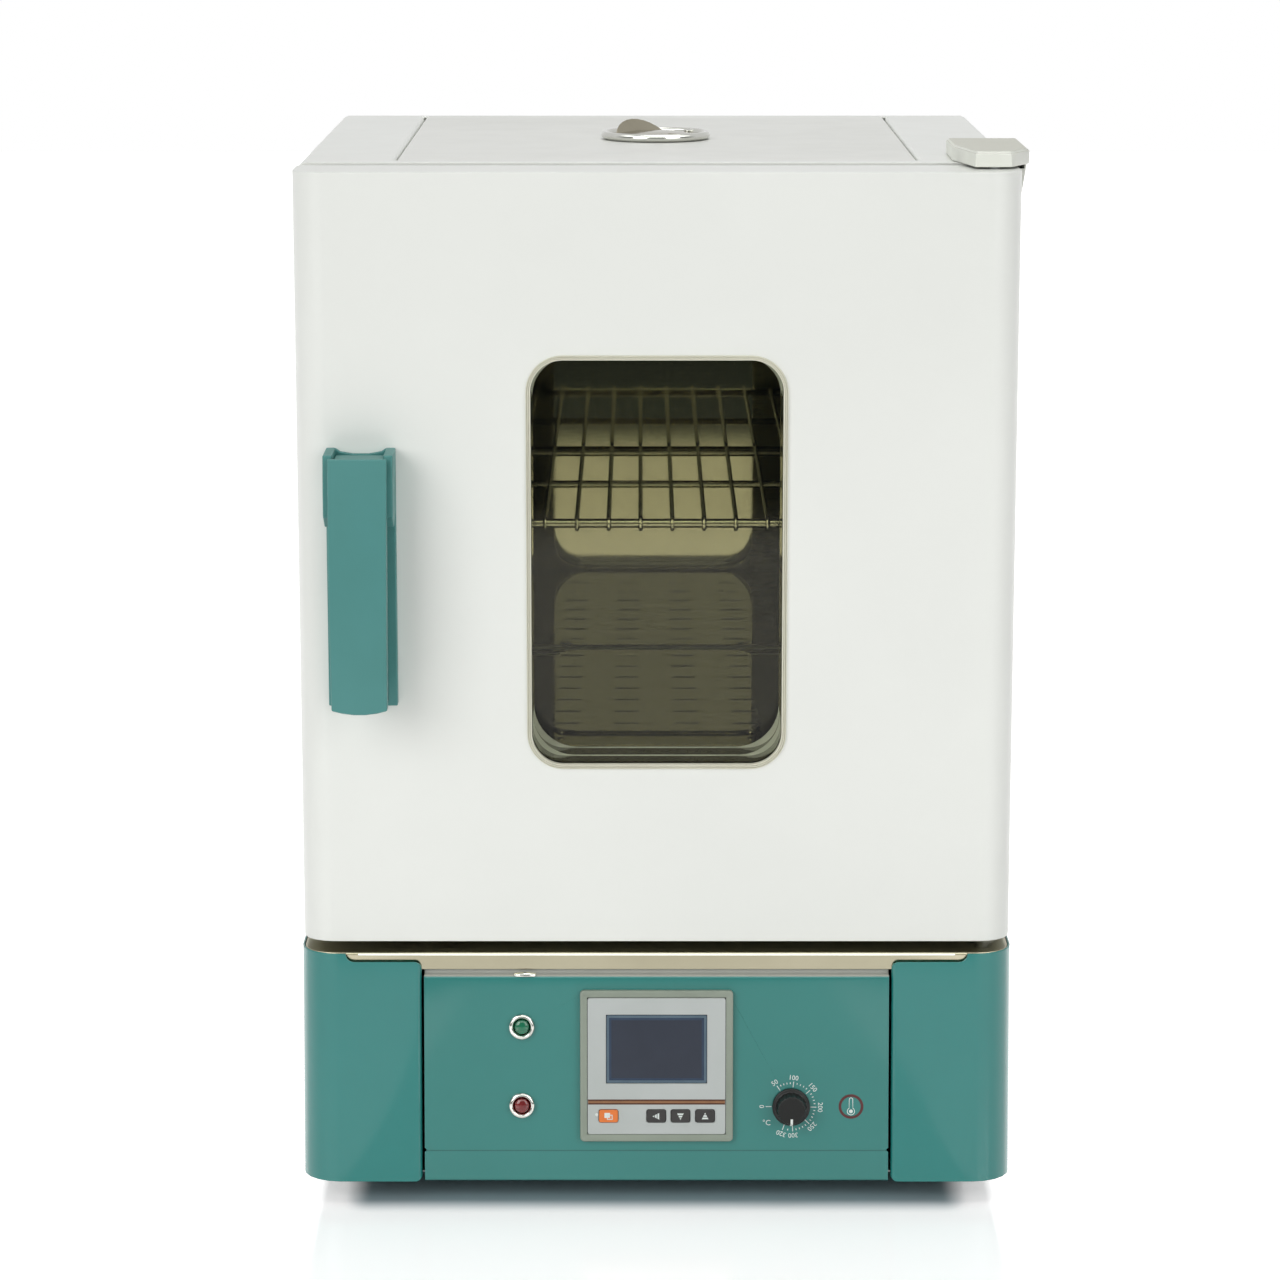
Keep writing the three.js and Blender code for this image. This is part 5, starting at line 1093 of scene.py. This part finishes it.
limiterPlace = (85.5, -26.7)
knob = {
    "lobes": 18, "lobeSteps": 8, "flute": 0.5, "sharp": 50,
    # radius, height and the flutes' share: out of the bore, round the skirt, up the grip and over its top
    "profile": [(2.97, 9.6, 0), (3.3, 9.3, 0), (3.3, 0.6, 0), (11.6, 0.6, 0), (12, 1.1, 0), (12, 2.2, 0),
                (11.65, 2.85, 0), (11, 3, 0), (10.1, 3.05, 0), (9.65, 3.5, 0.4), (9.45, 4.2, 1), (9.15, 12.4, 1),
                (9.05, 13.2, 0.9), (8.8, 13.65, 0.6), (8.45, 13.9, 0.3), (8, 14, 0), (7.3, 13.75, 0), (0.4, 13.7, 0)],
}
pointer = {"width": 1.5, "thick": 0.5, "course": [
    (5.4, 13.85), (7.6, 13.9), (8.5, 13.7), (9.05, 13.1), (9.3, 12.2), (9.5, 4.6), (9.7, 3.6), (10.4, 3.1),
    (11.3, 2.95), (11.8, 2.5), (12.0, 1.8), (12.0, 0.9)]}  # radius and height along its middle
dial = {
    "stops": {"0": 180, "50": 124, "100": 84, "150": 41, "200": -1.5, "250": -44, "300": -86, "320": -110},
    "steps": (5, 5, 5, 5, 5, 2),        # from 50 on, between one stop and the next
    "long": (12.4, 16.1, 0.45), "short": (14.5, 15.6, 0.5),  # start, end and width
    "words": (18.6, 3.0),               # radius and height
    "unit": (-15.5, -10.3, 0), "unitHeight": 3.4, "ink": 0.06,
}
sign = {"across": 38.1, "ring": (6.2, 7.9), "drop": 3.1, "bulb": 2.5, "stem": 1.3, "line": 0.42, "top": 7.6,
        "core": 1.2, "ink": 0.06, "ringSteps": 64, "bulbSteps": 30, "topSteps": 12, "coreSteps": 24}


def makeKnob(lobes, lobeSteps, flute, sharp, profile):
    radii, heights, depth = np.array(profile).T[:, :, None]
    angles = np.linspace(0, 2 * math.pi, lobes * lobeSteps, endpoint=False)
    radius = radii - flute * depth * (0.5 - 0.5 * np.cos(lobes * angles)) ** 2
    rings = np.stack([radius * np.cos(angles), radius * np.sin(angles), np.broadcast_to(heights, radius.shape)], -1)
    newPiece("limiterKnob", onPanel(loft(rings), *limiterPlace), "knobPlastic", "limiter_knob", body="limiter_knob",
             sharp=sharp)


def makePointer(width, thick, course):
    # a flat bar that runs out over the front, down the grip and over the skirt
    course = np.array(course)
    along = np.gradient(course, axis=0)
    along /= np.linalg.norm(along, axis=1)[:, None]
    offset = np.stack([-along[:, 1], along[:, 0]], axis=-1) * thick / 2
    rings = np.stack([np.column_stack([np.full(len(course), side * width / 2), (course + face * offset) * [-1, 1]])
                      for side, face in ((-1, -1), (1, -1), (1, 1), (-1, 1))], axis=1)
    newPiece("limiterPointer", onPanel(loft(rings), *limiterPlace), "whiteInk", body="limiter_knob")


def wordShape(text, height, thick):
    # Blender's own plain font, made a closed mesh and centred
    capitalShare, samePoint = 0.7, 1e-4
    curve = configure(bpy.data.curves.new("word", "FONT"), body=text, size=height / capitalShare, extrude=thick / 2,
                      resolution_u=3)
    word = linked("word", curve)
    bpy.context.view_layer.update()
    mesh = bpy.data.meshes.new_from_object(word)
    work = bmesh.new()
    work.from_mesh(mesh)
    bmesh.ops.remove_doubles(work, verts=work.verts, dist=samePoint)
    points = np.array([vertex.co[:] for vertex in work.verts])
    faces = [[vertex.index for vertex in face.verts] for face in work.faces]
    work.free()
    bpy.data.objects.remove(word)
    bpy.data.curves.remove(curve)
    bpy.data.meshes.remove(mesh)
    middle = (points.min(axis=0) + points.max(axis=0)) / 2
    return points - middle + [0, 0, thick / 2], faces


def makeDial(stops, steps, long, short, words, unit, unitHeight, ink):
    long, short = [shifted(block(end - start, width, 0, [(0, 0), (0, ink)], 1), ((start + end) / 2, 0, 0))
                   for start, end, width in (long, short)]
    angles = list(stops.values())
    shapes = [turned(long, angle) for angle in angles]
    for first, last, count in zip(angles[1:], angles[2:], steps):
        shapes += [turned(short, angle) for angle in np.linspace(first, last, count, endpoint=False)[1:]]
    radius, height = words
    for text, angle in stops.items():
        way = math.radians(angle)
        shapes.append(shifted(turned(wordShape(text, height, ink), angle - 90),
                              (radius * math.cos(way), radius * math.sin(way), 0)))
    shapes.append(shifted(wordShape("°C", unitHeight, ink), unit))
    newPiece("limiterScale", onPanel(joined(*shapes), *limiterPlace), "whiteInk")


def makeSign(across, ring, drop, bulb, stem, line, top, core, ink, ringSteps, bulbSteps, topSteps, coreSteps):
    # a thermometer in outline inside a ring: a bulb at the bottom and a narrow stem above it
    x, y = limiterPlace[0] + across, limiterPlace[1]
    inner, outer = ring
    circle = revolve([(inner, 0), (outer, 0), (outer, ink), (inner, ink)], ringSteps, wrap=True)
    newPiece("limiterRing", onPanel(circle, x, y), "redInk")
    opening = math.asin(stem / bulb)
    low = np.linspace(math.pi / 2 + opening, math.pi * 2.5 - opening, bulbSteps)
    high = np.linspace(0, math.pi, topSteps)
    outside, inside = [np.concatenate([arc(bulb - less, low), arc(stem - less, high, (0, top))])
                       for less in (0, line)]
    shape = joined(ringBetween(outside, inside, 0, ink), revolve([(core, 0), (core, ink)], coreSteps))
    newPiece("limiterMark", onPanel(shape, x, y - drop), "whiteInk")


makeLamps(**lamps)
makeKnob(**knob)
makePointer(**pointer)
dress("limiter_body", "blackPlastic")
makeDial(**dial)
makeSign(**sign)


# Mains

mainsCopies = {
    "power_inlet": ("blackPlastic", 0.4), "power_switch_frame": ("blackPlastic", 0.4),
    "power_rocker": ("blackPlastic", 0.5, "smooth", "power_rocker"),
}
fineCopies(mainsCopies)
print("base and controls made")
